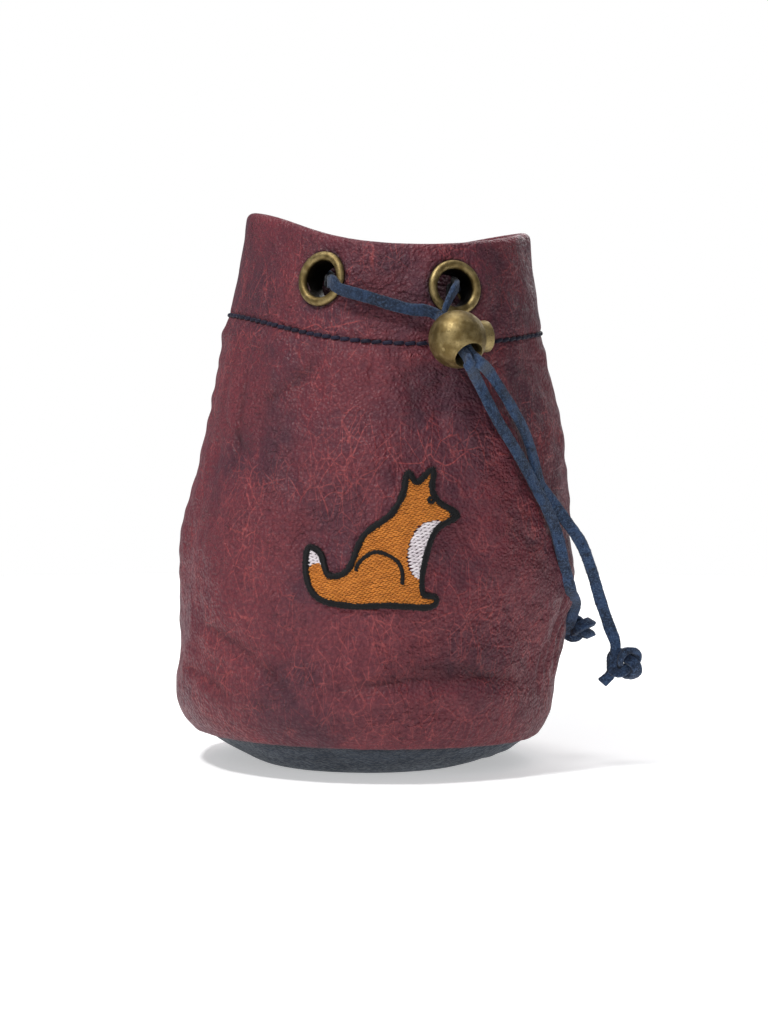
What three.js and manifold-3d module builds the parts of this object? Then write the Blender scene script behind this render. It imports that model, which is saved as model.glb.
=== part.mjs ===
// A leather drawstring dice bag, standing on its base. Millimetres, +Z up.
// The origin is the middle of the base's underside and the front of the bag faces -Y.
// The leather wall is one sheet, turned in at the mouth as a hem and sewn to a round base.
// Four brass eyelets carry one flat lace, whose two ends run through a spring-loaded ball lock.
import * as THREE from "three";
import { mergeVertices } from "three/addons/utils/BufferGeometryUtils.js";
import Module from "manifold-3d";

// ---- driving dimensions -------------------------------------------------------------------
const LEATHER = 1.4; // wall leather
const FOLD_GAP = 0.3; // between the wall and the turned-in hem
const HEM = 2 * LEATHER + FOLD_GAP; // thickness of the mouth band
const BASE_LEATHER = 1.6;
const BASE_FLAT_R = 28; // flat part of the base
const BASE_EDGE_R = 43.1; // where the base turns up inside the wall
const BASE_BELLY_Z = 1.6; // height the base's curve bends towards, between its flat part and its edge
const BASE_UPSTAND = 6; // seam allowance of the base, inside the wall
const SEAM_Z = 7.4; // mean height of the base seam
const RIM_Z = 136.7; // mean height of the rim
const STITCH_V = 0.812; // hem stitching, as a share of the way from seam to rim
const EYELET_V = 0.922; // eyelet centres, the same way
const CLEAR = 0.3; // gap left between separate pieces
const TUCK_V = 0.05; // the wall tucks in below here, as a share of its height
const WALL_ROWS = 8; // facets of the wall from the tuck to the rim
const SEGMENTS = 44; // facets round the bag

const EYELET = { hole: 4, barrel: 4.5, flange: 7, height: 1.6, washer: 7.2, curl: 5.8, segments: 16 };
const LACE = { width: 3, thick: 1.4 };
const MOUTH_RUN_SAG = 0.025; // how far the lace sags between eyelets, as a share of the wall's height
const THREAD_R = 0.4;
const BASE_SEAM_V = 0.035; // the base's stitching, as a share of the wall's height
const BASE_SEAM_INSET = 8.3; // and inside the wall's outer surface, clear of the base's turned-up edge
const LOCK = { r: 7.1, well: 4.2, wellFloor: -5.3, plunger: 3.9, bore: 3.3, slot: 3.1, rest: 0.9 };

// Azimuths round the mouth in degrees: 0 is the front, positive towards +X.
const EYELETS = {
  front_left: -27.5,
  back_left: -130,
  back_right: 130,
  front_right: 23.4,
};

const rad = THREE.MathUtils.degToRad;
const V3 = (x, y, z) => new THREE.Vector3(x, y, z);

// ---- the shape of the wall ----------------------------------------------------------------
// Rows of v, radius, lean: v runs from the base seam (0) to the rim (1), lean is the ring's shift along +X.
const PROFILE = [
  [0, 45.2, -0.3],
  [0.03, 47.9, -0.8],
  [0.08, 50.0, -0.9],
  [0.16, 50.3, -0.2],
  [0.34, 51.5, 1.9],
  [0.58, 46.7, 4.1],
  [0.8, 41.1, 5.0],
  [0.92, 38.3, 5.4],
  [1.03, 36.3, 5.6],
];
const profileAt = new THREE.CubicInterpolant(
  PROFILE.map((row) => row[0]),
  PROFILE.flatMap((row) => row.slice(1)),
  2,
);

const seamZ = (phi) => SEAM_Z + 1.4 * Math.cos(phi + rad(35));
const rimZ = (phi) => RIM_Z - 1.6 * Math.cos(phi) - 2.7 * Math.cos(2 * phi) - 2.6 * Math.sin(phi);

// How far the mouth stands out from a circle: it is a rounded, slightly turned oval,
// drawn in where the lace runs outside the leather and full where it runs inside.
function mouthShape(phi) {
  const oval = 2.6 * Math.cos(2 * (phi - rad(50))) + 1.5 * Math.cos(3 * (phi - rad(5)));
  const drawn = Math.exp(-(((Math.abs(phi) - rad(122)) / rad(24)) ** 2));
  return oval - 2.4 * drawn;
}

// A point of the wall, inset millimetres inside its outer surface.
function wallPoint(phi, v, inset = 0) {
  const turn = Math.atan2(Math.sin(phi), Math.cos(phi));
  const [radius, lean] = profileAt.evaluate(THREE.MathUtils.clamp(v, 0, 1.03));
  const r = radius + mouthShape(turn) * THREE.MathUtils.smoothstep(v, 0.3, 0.95) - inset;
  const z = seamZ(turn) + (rimZ(turn) - seamZ(turn)) * v;
  return V3(lean + r * Math.sin(turn), -r * Math.cos(turn), z);
}

// The outward unit normal of the wall.
function wallNormal(phi, v) {
  const step = 0.01;
  const across = wallPoint(phi + step, v).sub(wallPoint(phi - step, v));
  const up = wallPoint(phi, v + step).sub(wallPoint(phi, v - step));
  return across.cross(up).normalize();
}

// ---- helpers ------------------------------------------------------------------------------
const wasm = await Module();
wasm.setup();

function moveVertices(geometry, move) {
  const position = geometry.getAttribute("position");
  const p = V3(0, 0, 0);
  for (let i = 0; i < position.count; i++) {
    p.fromBufferAttribute(position, i);
    const q = move(p);
    position.setXYZ(i, q.x, q.y, q.z);
  }
  return geometry;
}

function toSolid(geometry) {
  const bare = geometry.clone().deleteAttribute("normal").deleteAttribute("uv");
  const merged = mergeVertices(bare, 1e-4);
  const triVerts = new Uint32Array(merged.index.array);
  const vertProperties = merged.getAttribute("position").array;
  return new wasm.Manifold(new wasm.Mesh({ numProp: 3, vertProperties, triVerts }));
}

function toGeometry(solid) {
  const { vertProperties, triVerts } = solid.getMesh();
  return new THREE.BufferGeometry()
    .setAttribute("position", new THREE.BufferAttribute(vertProperties, 3))
    .setIndex(new THREE.BufferAttribute(triVerts, 1));
}

// Turns and moves a geometry built round the local +Z axis, so that +Z points along axis.
function place(geometry, origin, axis) {
  const turn = new THREE.Quaternion().setFromUnitVectors(V3(0, 0, 1), axis.clone().normalize());
  return geometry.applyQuaternion(turn).translate(origin.x, origin.y, origin.z);
}

// A solid of revolution about +Z from [radius, height] points.
function turned(points, segments) {
  const outline = points.map(([r, h]) => new THREE.Vector2(r, h));
  return new THREE.LatheGeometry(outline, segments).rotateX(Math.PI / 2);
}

function rod(radius, from, to, segments = 24) {
  return turned([[0, from], [radius, from], [radius, to], [0, to]], segments);
}

// A ring that follows the wall: its closed section is a list of [inset in mm, v] points.
function wallRing(section, segments) {
  const reach = 100;
  const outline = section.map(([inset, v]) => new THREE.Vector2(reach - inset, v));
  const ring = new THREE.LatheGeometry(outline, segments);
  return moveVertices(ring, (p) => wallPoint(Math.atan2(p.x, p.z), p.y, reach - Math.hypot(p.x, p.z)));
}

// A flat strip swept along a smooth curve. side gives the direction of its width at a share t.
function strip(points, side, steps, width = LACE.width, thick = LACE.thick) {
  const curve = new THREE.CatmullRomCurve3(points, false, "centripetal");
  const section = new THREE.Shape([
    new THREE.Vector2(-width / 2, -thick / 2),
    new THREE.Vector2(width / 2, -thick / 2),
    new THREE.Vector2(width / 2, thick / 2),
    new THREE.Vector2(-width / 2, thick / 2),
  ]);
  const straight = new THREE.ExtrudeGeometry(section, { depth: 1, steps, bevelEnabled: false });
  return moveVertices(straight, (p) => {
    const t = THREE.MathUtils.clamp(p.z, 0, 1);
    const along = curve.getTangentAt(t);
    const across = side(t).projectOnPlane(along).normalize();
    const normal = along.clone().cross(across);
    return curve.getPointAt(t).addScaledVector(across, p.x).addScaledVector(normal, p.y);
  });
}

const group = new THREE.Group();
const finish = (color, roughness, metalness = 0) =>
  new THREE.MeshStandardMaterial({ color, roughness, metalness });
const MATERIALS = {
  oxblood: finish(0x64383f, 0.55),
  navy: finish(0x333b45, 0.6),
  brass: finish(0x8c7440, 0.35, 1),
  steel: finish(0x9a9a98, 0.3, 1),
  lace: finish(0x33475e, 0.9),
  thread: finish(0x231c30, 0.8),
  black_thread: finish(0x15151a, 0.7),
  orange_thread: finish(0xc07a2a, 0.6),
  white_thread: finish(0xd8cfd2, 0.6),
};

function add(name, geometry, material) {
  const mesh = new THREE.Mesh(geometry, MATERIALS[material].clone());
  mesh.name = name;
  group.add(mesh);
}

// ---- leather ------------------------------------------------------------------------------
function bagWall() {
  const flapEnd = STITCH_V - 0.03;
  const gapTop = 0.97;
  const column = (inset, from, to, count) =>
    Array.from({ length: count + 1 }, (_, i) => [inset, from + ((to - from) * i) / count]);
  const fold = [[0.45, 1.008], [HEM / 2, 1.013], [HEM - 0.45, 1.008]];
  const section = [
    [0, 0],
    ...column(0, TUCK_V, 1, WALL_ROWS),
    ...fold,
    ...column(HEM, 1, flapEnd, 3),
    ...column(LEATHER + FOLD_GAP, flapEnd, gapTop, 3),
    ...column(LEATHER, gapTop, TUCK_V, WALL_ROWS - 1),
    [LEATHER, 0],
    [0, 0],
  ];
  let wall = toSolid(wallRing(section, SEGMENTS));
  for (const azimuth of Object.values(EYELETS)) {
    const drill = rod(EYELET.barrel + CLEAR, -9, 6, EYELET.segments);
    const hole = place(drill, eyeletCentre(azimuth), eyeletAxis(azimuth));
    wall = wall.subtract(toSolid(hole));
  }
  return toGeometry(wall);
}

// A shallow bowl with its edge turned up inside the wall, level with the wavy base seam.
function basePanel() {
  const bowl = new THREE.QuadraticBezierCurve(
    new THREE.Vector2(BASE_FLAT_R, 0),
    new THREE.Vector2((BASE_FLAT_R + BASE_EDGE_R) / 2, BASE_BELLY_Z),
    new THREE.Vector2(BASE_EDGE_R, SEAM_Z),
  );
  const outside = bowl.getPoints(3).map((p) => [p.x, p.y]);
  const top = SEAM_Z + BASE_UPSTAND;
  const inwards = BASE_LEATHER * 0.75;
  const inside = outside.slice(1).reverse().map(([r, z]) => [r - inwards, z + inwards]);
  const outline = [
    [0, 0],
    ...outside,
    [BASE_EDGE_R, top],
    [BASE_EDGE_R - BASE_LEATHER, top],
    ...inside,
    [BASE_FLAT_R, BASE_LEATHER],
    [0, BASE_LEATHER],
  ];
  return moveVertices(turned(outline, SEGMENTS), (p) => {
    const share = THREE.MathUtils.smoothstep(Math.hypot(p.x, p.y), BASE_FLAT_R, BASE_EDGE_R - 3);
    const rise = seamZ(Math.atan2(p.x, -p.y)) - SEAM_Z;
    return V3(p.x, p.y, p.z + rise * share);
  });
}

// ---- threads ------------------------------------------------------------------------------
const circle = (count, radius) =>
  Array.from({ length: count + 1 }, (_, i) => {
    const a = (i * 2 * Math.PI) / count;
    return [radius * Math.cos(a), radius * Math.sin(a)];
  });

function threadRing(inset, v) {
  const perMillimetre = 1 / (RIM_Z - SEAM_Z);
  return wallRing(circle(5, THREAD_R).map(([x, y]) => [inset - x, v + y * perMillimetre]), SEGMENTS);
}

// The thread down the inside of the back seam of the wall.
function backSeamThread() {
  const steps = 16;
  const path = Array.from({ length: steps + 1 }, (_, i) => {
    const v = 0.12 + ((STITCH_V - 0.17) * i) / steps;
    return wallPoint(Math.PI, v, LEATHER + 2 * CLEAR + THREAD_R);
  });
  return strip(path, () => V3(1, 0, 0), steps, 2 * THREAD_R, 2 * THREAD_R);
}

// ---- eyelets ------------------------------------------------------------------------------
const eyeletAxis = (azimuth) => wallNormal(rad(azimuth), EYELET_V);
const eyeletCentre = (azimuth) => wallPoint(rad(azimuth), EYELET_V);
const WASHER_TOP = -(HEM + 1.3); // the washer sits clear of the curved inside of the band
const CURL_TOP = WASHER_TOP - 0.8 - CLEAR / 2;

function eyelet() {
  const { hole, barrel, flange, height, curl } = EYELET;
  const foot = 0.3;
  const mid = (hole + flange) / 2;
  const crown = new THREE.EllipseCurve(mid, foot, (flange - hole) / 2, height - foot, 0, Math.PI);
  const rim = crown.getPoints(5).map((p) => [p.x, p.y]);
  const outline = [
    [barrel, foot],
    ...rim,
    [hole, CURL_TOP - 0.7],
    [curl - 0.3, CURL_TOP - 0.7],
    [curl, CURL_TOP],
    [barrel, CURL_TOP],
    [barrel, foot],
  ];
  return turned(outline, EYELET.segments);
}

function washer() {
  const { barrel, washer: outer } = EYELET;
  const inner = barrel + CLEAR;
  const low = WASHER_TOP - 0.8;
  const corners = [[inner, low], [outer, low], [outer, WASHER_TOP], [inner, WASHER_TOP]];
  return turned([...corners, corners[0]], EYELET.segments);
}

// ---- the ball lock ------------------------------------------------------------------------
const LOCK_CENTRE = V3(22.1, -50, 109.8);
const BORE_AXIS = V3(0.43, -0.64, -0.64).normalize(); // the way the lace ends leave
const PRESS_AXIS = V3(0.87, 0.485, 0.1).projectOnPlane(BORE_AXIS).normalize(); // out of the button
const LACE_SIDE = BORE_AXIS.clone().cross(PRESS_AXIS);
const atLock = (along, out = 0) =>
  LOCK_CENTRE.clone().addScaledVector(BORE_AXIS, along).addScaledVector(PRESS_AXIS, out);

function lockBody() {
  const ball = toSolid(new THREE.SphereGeometry(LOCK.r, 24, 14).translate(...LOCK_CENTRE));
  const well = toSolid(place(rod(LOCK.well, LOCK.wellFloor, 9), LOCK_CENTRE, PRESS_AXIS));
  const bore = toSolid(place(rod(LOCK.bore, -9, 9), LOCK_CENTRE, BORE_AXIS));
  return toGeometry(ball.subtract(well).subtract(bore));
}

// The button: a domed cylinder with a cross hole, held outwards by the spring so that it grips.
function lockPlunger() {
  const { plunger, slot, rest, r } = LOCK;
  const foot = rest - slot - 1;
  const shoulder = r + 0.9;
  const dome = new THREE.EllipseCurve(0, shoulder, plunger, 0.9, 0, Math.PI / 2).getPoints(4);
  const outline = [[0, foot], [plunger, foot], ...dome.map((p) => [p.x, p.y])];
  outline[outline.length - 1][0] = 0;
  const button = toSolid(place(turned(outline, 24), LOCK_CENTRE, PRESS_AXIS));
  const cross = toSolid(place(rod(slot, -9, 9), atLock(0, rest), BORE_AXIS));
  return toGeometry(button.subtract(cross));
}

// A conical spring, so that its turns nest when the button is pressed home.
function lockSpring() {
  const wire = 0.16;
  const from = LOCK.wellFloor + wire + 0.1;
  const to = LOCK.rest - LOCK.slot - 1 - wire - 0.1;
  const turns = 2.5;
  class Cone extends THREE.Curve {
    getPoint(t, target = V3(0, 0, 0)) {
      const a = t * turns * 2 * Math.PI;
      const r = 3.4 - 1.6 * t;
      return target.set(r * Math.cos(a), r * Math.sin(a), from + (to - from) * t);
    }
  }
  const section = new THREE.Shape(circle(5, wire).slice(0, 5).map(([x, y]) => new THREE.Vector2(x, y)));
  const options = { steps: 40, extrudePath: new Cone(), bevelEnabled: false };
  return place(new THREE.ExtrudeGeometry(section, options), LOCK_CENTRE, PRESS_AXIS);
}

// ---- the lace -----------------------------------------------------------------------------
// A point on the lace where it goes through an eyelet: depth inwards, lateral round the mouth.
function inEyelet(azimuth, depth, lateral) {
  const axis = eyeletAxis(azimuth);
  const round = V3(0, 0, 1).cross(axis).normalize();
  return eyeletCentre(azimuth).addScaledVector(axis, -depth).addScaledVector(round, lateral);
}

// A run round the mouth between two eyelets, inside or outside the leather.
function mouthRun(fromAzimuth, toAzimuth, inside) {
  const span = toAzimuth - fromAzimuth;
  const way = Math.sign(span);
  const through = inside ? [[1.6, 0], [4.4, 0.5], [7.2, 2]] : [[0.9, 0], [-1.3, 0.5], [-3, 2.4]];
  const along = inside ? [[8, 9], [15, 7.4]] : [[8.5, -3.4], [15, -2.4]];
  const end = (azimuth, sign) => [
    ...through.map(([depth, lateral]) => inEyelet(azimuth, depth, sign * lateral)),
    ...along.map(([turn, inset]) => wallPoint(rad(azimuth + sign * turn), EYELET_V, inset)),
  ];
  const stops = Math.round(Math.abs(span) / 26);
  const between = Array.from({ length: stops - 1 }, (_, i) => {
    const share = (i + 1) / stops;
    const v = EYELET_V - MOUTH_RUN_SAG * Math.sin(Math.PI * share);
    return wallPoint(rad(fromAzimuth + span * share), v, inside ? HEM + 2 : -1.6);
  });
  const path = [...end(fromAzimuth, way), ...between, ...end(toAzimuth, -way).reverse()];
  return strip(path, () => V3(0, 0, 1), Math.round(Math.abs(span) / 2.8));
}

// Turns the width of a strip evenly from one direction to the next along its length.
function turning(...sides) {
  return (t) => {
    const place = t * (sides.length - 1);
    const i = Math.min(Math.floor(place), sides.length - 2);
    return sides[i].clone().lerp(sides[i + 1], place - i);
  };
}

const PAIR = LACE.thick / 2 + 0.12; // half the distance between the two ends in the lock
const ENTRY = -8.4; // where both ends come together behind the lock
const STRAND = { a: -PAIR, b: PAIR };
const onWall = ([azimuth, v, height]) => wallPoint(rad(azimuth), v, -height);

// From the front left eyelet across to the lock.
function frontRun() {
  const azimuth = EYELETS.front_left;
  const points = [
    inEyelet(azimuth, 0.9, 0),
    inEyelet(azimuth, -1.3, 0.5),
    inEyelet(azimuth, -3, 2.4),
    ...[[azimuth + 9, 0.915, 3.2], [azimuth + 20, 0.9, 2.4], [7, 0.88, 2.2]].map(onWall),
    atLock(ENTRY - 3, STRAND.a - 1.6),
    atLock(ENTRY - 1, STRAND.a),
    atLock(ENTRY, STRAND.a),
  ];
  return strip(points, turning(V3(0, 0, 1), V3(0, 0, 1), LACE_SIDE), 20);
}

// From the front right eyelet down to the lock.
function exitRun() {
  const azimuth = EYELETS.front_right;
  const points = [
    inEyelet(azimuth, 0.9, 0),
    inEyelet(azimuth, -1.8, 0),
    inEyelet(azimuth, -3.2, -1.2),
    atLock(ENTRY - 1, STRAND.b),
    atLock(ENTRY, STRAND.b),
  ];
  return strip(points, turning(V3(0, 0, 1), LACE_SIDE), 12);
}

// Lace ends in [azimuth, v, height above the leather], from below the lock to the knots.
const TAIL = {
  a: [[32.5, 0.64, 4.4], [38.5, 0.59, 3.4], [44, 0.545, 3.2], [51, 0.49, 3.2]],
  b: [[35, 0.725, 6], [39, 0.665, 3.5], [44, 0.61, 2.2], [53, 0.52, 1.6]],
};
const outward = (azimuth) => V3(Math.sin(rad(azimuth)), -Math.cos(rad(azimuth)), 0);
const across = (azimuth, from, to) => outward(azimuth).cross(to.clone().sub(from)).normalize();

// Through the lock and down the leather, as far as the point where the end can swing.
function tailUpper(strand) {
  const held = [ENTRY + CLEAR, ENTRY + 2, 0, 3, 6.4].map((along) => atLock(along, STRAND[strand]));
  held.push(atLock(8.8, 1.7 * STRAND[strand]));
  const draped = TAIL[strand].map(onWall);
  const side = across(TAIL[strand][3][0], draped[2], draped[3]);
  return strip([...held, ...draped], turning(LACE_SIDE, LACE_SIDE, side, side), 26);
}

const KNOT = { a: V3(54.4, 7.4, 33.4), b: V3(65.5, -5.6, 25.6) };
const KNOT_SIZE = { r: 2.1, tube: 0.95, reach: 4.4 };
const LOWER = {
  a: [[51.5, 0.486, 3.2], [58, 0.43, 2.5], [64, 0.36, 2], [72, 0.3, 2], [84, 0.265, 2.4]].map(onWall),
  b: [
    ...[[53.5, 0.5155, 1.6], [62, 0.455, 2.8]].map(onWall),
    V3(54.8, -19, 58.1),
    V3(58, -14, 50.6),
    V3(60.5, -10, 43),
    V3(63.3, -7, 35.3),
  ],
};

function tailLower(strand) {
  const points = [...LOWER[strand]];
  const last = points[points.length - 1];
  points.push(last.clone().sub(KNOT[strand]).setLength(KNOT_SIZE.reach).add(KNOT[strand]));
  const side = across(TAIL[strand][3][0], points[0], points[1]);
  return strip(points, turning(side, V3(0.83, -0.55, 0)), 20);
}

// An overhand knot pulled tight, with the cut end of the lace sticking out.
function knot(strand) {
  const ball = new THREE.TorusKnotGeometry(KNOT_SIZE.r, KNOT_SIZE.tube, 30, 5, 2, 3).rotateX(Math.PI / 2);
  const end = new THREE.BoxGeometry(1.3, 1.3, 5).rotateY(rad(28)).translate(-1.9, 0, -4.2);
  const tight = toSolid(ball).add(toSolid(end));
  return toGeometry(tight.translate(KNOT[strand].toArray()));
}

// ---- embroidery ---------------------------------------------------------------------------
// A plain seated fox in profile, in millimetres across (u) and up (w) from the middle of the motif.
const MOTIF = { x: 5.4, z: 61.5, thick: 0.5 };
const OUTLINE = [
  [16.5, 5.2], [12, 8.6], [10.4, 11.4], [10.6, 16.6], [6.6, 13.2], [4.6, 15.9], [3.4, 10.6],
  [0.6, 5.6], [-6, 0.4], [-10.4, -8.4], [-14.6, -9.4], [-17.4, -3.6], [-20, -2.4], [-20.4, -9],
  [-17.6, -14.6], [-10, -16.6], [0, -16.4], [11, -16.6], [11.4, -14.8], [8.2, -13.8], [9, -4], [11.6, 2],
];
const CHEST = [[13, 3.4], [8.4, 3.4], [5.2, -0.6], [4.4, -5], [6, -9.6], [9.8, -9.6], [10.4, -3]];
const TAIL_TIP = [[-14, -6.2], [-15, -1], [-23, -1], [-23, -8.6], [-18.5, -6.6]];
const BORDER = 0.7; // half the width of the satin border

// The smooth closed shape through the points, each moved inwards, cut straight through the front.
function shape(points, inwards) {
  const count = points.length;
  const moved = points.map(([u, w], i) => {
    const [nextU, nextW] = points[(i + 1) % count];
    const [lastU, lastW] = points[(i + count - 1) % count];
    const along = new THREE.Vector2(nextU - lastU, nextW - lastW).normalize();
    return V3(u - along.y * inwards, w + along.x * inwards, 0);
  });
  const curve = new THREE.CatmullRomCurve3(moved, true, "centripetal");
  const edge = curve.getPoints(3 * count).slice(0, -1).map((p) => new THREE.Vector2(p.x, p.y));
  const through = new THREE.ExtrudeGeometry(new THREE.Shape(edge), { depth: 60, bevelEnabled: false });
  return toSolid(through.rotateX(Math.PI / 2).translate(MOTIF.x, 0, MOTIF.z));
}

// The thin layer of thread that lies on the leather, round the whole bag at the motif's height.
function threadLayer() {
  const low = -CLEAR;
  const high = -CLEAR - MOTIF.thick;
  const rows = [2, 3, 4, 5].map((row) => TUCK_V + ((1 - TUCK_V) * row) / WALL_ROWS);
  const section = [...rows.map((v) => [high, v]), ...rows.reverse().map((v) => [low, v])];
  return toSolid(wallRing([...section, section[0]], SEGMENTS));
}

// The motif's parts: a filled body, a satin border and two white patches.
function embroidery() {
  const layer = threadLayer();
  const inside = shape(OUTLINE, BORDER + CLEAR);
  const body = inside.subtract(shape(CHEST, -CLEAR)).subtract(shape(TAIL_TIP, -CLEAR));
  const border = shape(OUTLINE, -BORDER).subtract(shape(OUTLINE, BORDER)).subtract(inside);
  const chest = inside.intersect(shape(CHEST, 0));
  const tailTip = inside.intersect(shape(TAIL_TIP, 0));
  const parts = { fill: body, border, chest, tail_tip: tailTip };
  return Object.entries(parts).map(([name, solid]) => [name, toGeometry(layer.intersect(solid))]);
}

// ---- assembly -----------------------------------------------------------------------------
add("bag_wall", bagWall(), "oxblood");
add("base_panel", basePanel(), "navy");
add("hem_needle_thread", threadRing(-(THREAD_R + CLEAR), STITCH_V), "thread");
add("hem_bobbin_thread", threadRing(HEM + THREAD_R + CLEAR, STITCH_V), "thread");
add("base_seam_thread", threadRing(BASE_SEAM_INSET, BASE_SEAM_V), "thread");
add("back_seam_thread", backSeamThread(), "thread");

for (const [place_name, azimuth] of Object.entries(EYELETS)) {
  add(`eyelet_${place_name}`, place(eyelet(), eyeletCentre(azimuth), eyeletAxis(azimuth)), "brass");
  add(`washer_${place_name}`, place(washer(), eyeletCentre(azimuth), eyeletAxis(azimuth)), "brass");
}

add("lock_body", lockBody(), "brass");
add("lock_plunger", lockPlunger(), "brass");
add("lock_spring", lockSpring(), "steel");

add("lace_inner_left", mouthRun(EYELETS.front_left, EYELETS.back_left, true), "lace");
add("lace_outer_back", mouthRun(EYELETS.back_left, EYELETS.back_right - 360, false), "lace");
add("lace_inner_right", mouthRun(EYELETS.back_right, EYELETS.front_right, true), "lace");
add("lace_front_run", frontRun(), "lace");
add("lace_exit_run", exitRun(), "lace");
for (const strand of ["a", "b"]) {
  add(`lace_end_${strand}_upper`, tailUpper(strand), "lace");
  add(`lace_end_${strand}_lower`, tailLower(strand), "lace");
  add(`lace_knot_${strand}`, knot(strand), "lace");
}

const THREADS = { fill: "orange", border: "black", chest: "white", tail_tip: "white" };
for (const [name, geometry] of embroidery()) {
  add(`embroidery_${name}`, geometry, `${THREADS[name]}_thread`);
}

export default group;
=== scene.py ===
"""Looks of a leather drawstring dice bag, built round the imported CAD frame.

Shapes are worked out in millimetres and turned into metres when a mesh is made.
Azimuths go round the mouth from the front (-Y), positive towards +X.
"""
import math

import bmesh
import bpy
import numpy as np
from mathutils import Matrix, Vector


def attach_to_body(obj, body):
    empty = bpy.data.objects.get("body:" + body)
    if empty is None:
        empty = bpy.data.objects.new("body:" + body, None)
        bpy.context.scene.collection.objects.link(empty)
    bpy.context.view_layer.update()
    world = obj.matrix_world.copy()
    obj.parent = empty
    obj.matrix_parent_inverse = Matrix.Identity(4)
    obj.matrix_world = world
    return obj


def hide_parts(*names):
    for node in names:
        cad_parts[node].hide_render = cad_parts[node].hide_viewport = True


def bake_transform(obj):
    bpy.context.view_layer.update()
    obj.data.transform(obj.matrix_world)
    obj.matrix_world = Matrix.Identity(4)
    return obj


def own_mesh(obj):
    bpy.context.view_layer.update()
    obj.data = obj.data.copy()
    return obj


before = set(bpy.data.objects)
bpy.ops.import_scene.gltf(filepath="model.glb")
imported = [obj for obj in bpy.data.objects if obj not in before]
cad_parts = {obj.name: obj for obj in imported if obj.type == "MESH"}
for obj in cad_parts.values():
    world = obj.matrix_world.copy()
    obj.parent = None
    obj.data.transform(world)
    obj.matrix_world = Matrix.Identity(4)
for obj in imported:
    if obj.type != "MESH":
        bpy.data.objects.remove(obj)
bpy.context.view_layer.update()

# ---- the bag's shape, the same as the CAD's --------------------------------------------------
LEATHER = 1.4
HEM = 3.1
BASE_FLAT_R = 28.0
BASE_EDGE_R = 43.1
BASE_BELLY_Z = 1.6
BASE_LEATHER = 1.6
SEAM_Z = 7.4
RIM_Z = 136.7
STITCH_V = 0.812
EYELET_V = 0.922
FLAP_V = STITCH_V - 0.03
ROLL_RISE = 0.0125
HOLE_HALF_WIDTH = 5.2
HOLE_HALF_HEIGHT = 5.6
MOUTH_R = 38
EYELET_FOOT = 0.3
WASHER_TOP = -(HEM + 1.3)
LACE_WIDTH = 3.0
LACE_THICK = 1.3
PROFILE = np.array([
    [0, 45.2, -0.3],
    [0.03, 47.9, -0.8],
    [0.08, 50.0, -0.9],
    [0.16, 50.3, -0.2],
    [0.34, 51.5, 1.9],
    [0.58, 46.7, 4.1],
    [0.8, 41.1, 5.0],
    [0.92, 38.3, 5.4],
    [1.03, 36.3, 5.6],
])
EYELETS = {
    "front_left": -27.5,
    "back_left": -130.0,
    "back_right": 130.0,
    "front_right": 23.4,
}
# Each stretch of the mouth: its name, the eyelets at its ends, the bodies it bends between.
STRETCHES = [
    ("front", "front_left", "front_right", "mouth_front_left", "mouth_front_right"),
    ("left", "back_left", "front_left", "mouth_back_left", "mouth_front_left"),
    ("back", "back_right", "back_left", "mouth_back", "mouth_back_left"),
    ("right", "front_right", "back_right", "mouth_front_right", "mouth_back_right"),
]
FRONT, LEFT, BACK, RIGHT = STRETCHES
rng = np.random.default_rng(7)


def smooth(x, low, high):
    t = np.clip((np.asarray(x, float) - low) / (high - low), 0, 1)
    return t * t * (3 - 2 * t)


def bell(x, centre, width):
    return np.exp(-(((np.asarray(x, float) - centre) / width) ** 2))


def profile(v):
    """Radius and lean of the wall at v, with the CAD's own interpolation."""
    v = np.clip(np.asarray(v, float), 0, PROFILE[-1, 0])
    t = PROFILE[:, 0]
    values = PROFILE[:, 1:]
    last = len(t) - 2
    i = np.clip(np.searchsorted(t, v, side="right") - 1, 0, last)
    before = np.where(i == 0, i + 1, i - 1)
    after = np.where(i == last, i, np.minimum(i + 2, last + 1))
    half = (t[i + 1] - t[i]) / 2
    wp = half / (t[i] - t[before])
    wn = half / (t[after] - t[i + 1])
    p = (v - t[i]) / (t[i + 1] - t[i])
    p2, p3 = p * p, p * p * p
    weights = (
        (before, -wp * p3 + 2 * wp * p2 - wp * p),
        (i, (1 + wp) * p3 - (1.5 + 2 * wp) * p2 + (wp - 0.5) * p + 1),
        (i + 1, -(1 + wn) * p3 + (1.5 + wn) * p2 + 0.5 * p),
        (after, wn * p3 - wn * p2),
    )
    out = sum(values[index] * weight[..., None] for index, weight in weights)
    return out[..., 0], out[..., 1]


def seam_z(phi):
    return SEAM_Z + 1.4 * np.cos(phi + math.radians(35))


def rim_z(phi):
    return RIM_Z - 1.6 * np.cos(phi) - 2.7 * np.cos(2 * phi) - 2.6 * np.sin(phi)


def mouth_shape(phi):
    oval = 2.6 * np.cos(2 * (phi - math.radians(50))) + 1.5 * np.cos(3 * (phi - math.radians(5)))
    return oval - 2.4 * bell(np.abs(phi), math.radians(122), math.radians(24))


def wall(phi, v, inset=0.0):
    """A point of the smooth wall, inset inside its outer surface."""
    phi, v, inset = np.broadcast_arrays(*(np.asarray(a, float) for a in (phi, v, inset)))
    turn = np.arctan2(np.sin(phi), np.cos(phi))
    radius, lean = profile(v)
    r = radius + mouth_shape(turn) * smooth(v, 0.3, 0.95) - inset
    z = seam_z(turn) + (rim_z(turn) - seam_z(turn)) * v
    return np.stack([lean + r * np.sin(turn), -r * np.cos(turn), z], -1)


def unit(a):
    return a / np.linalg.norm(a, axis=-1, keepdims=True)


def wall_normal(phi, v):
    step = 0.01
    across = wall(phi + step, v) - wall(phi - step, v)
    up = wall(phi, v + step) - wall(phi, v - step)
    return unit(np.cross(across, up))


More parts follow.
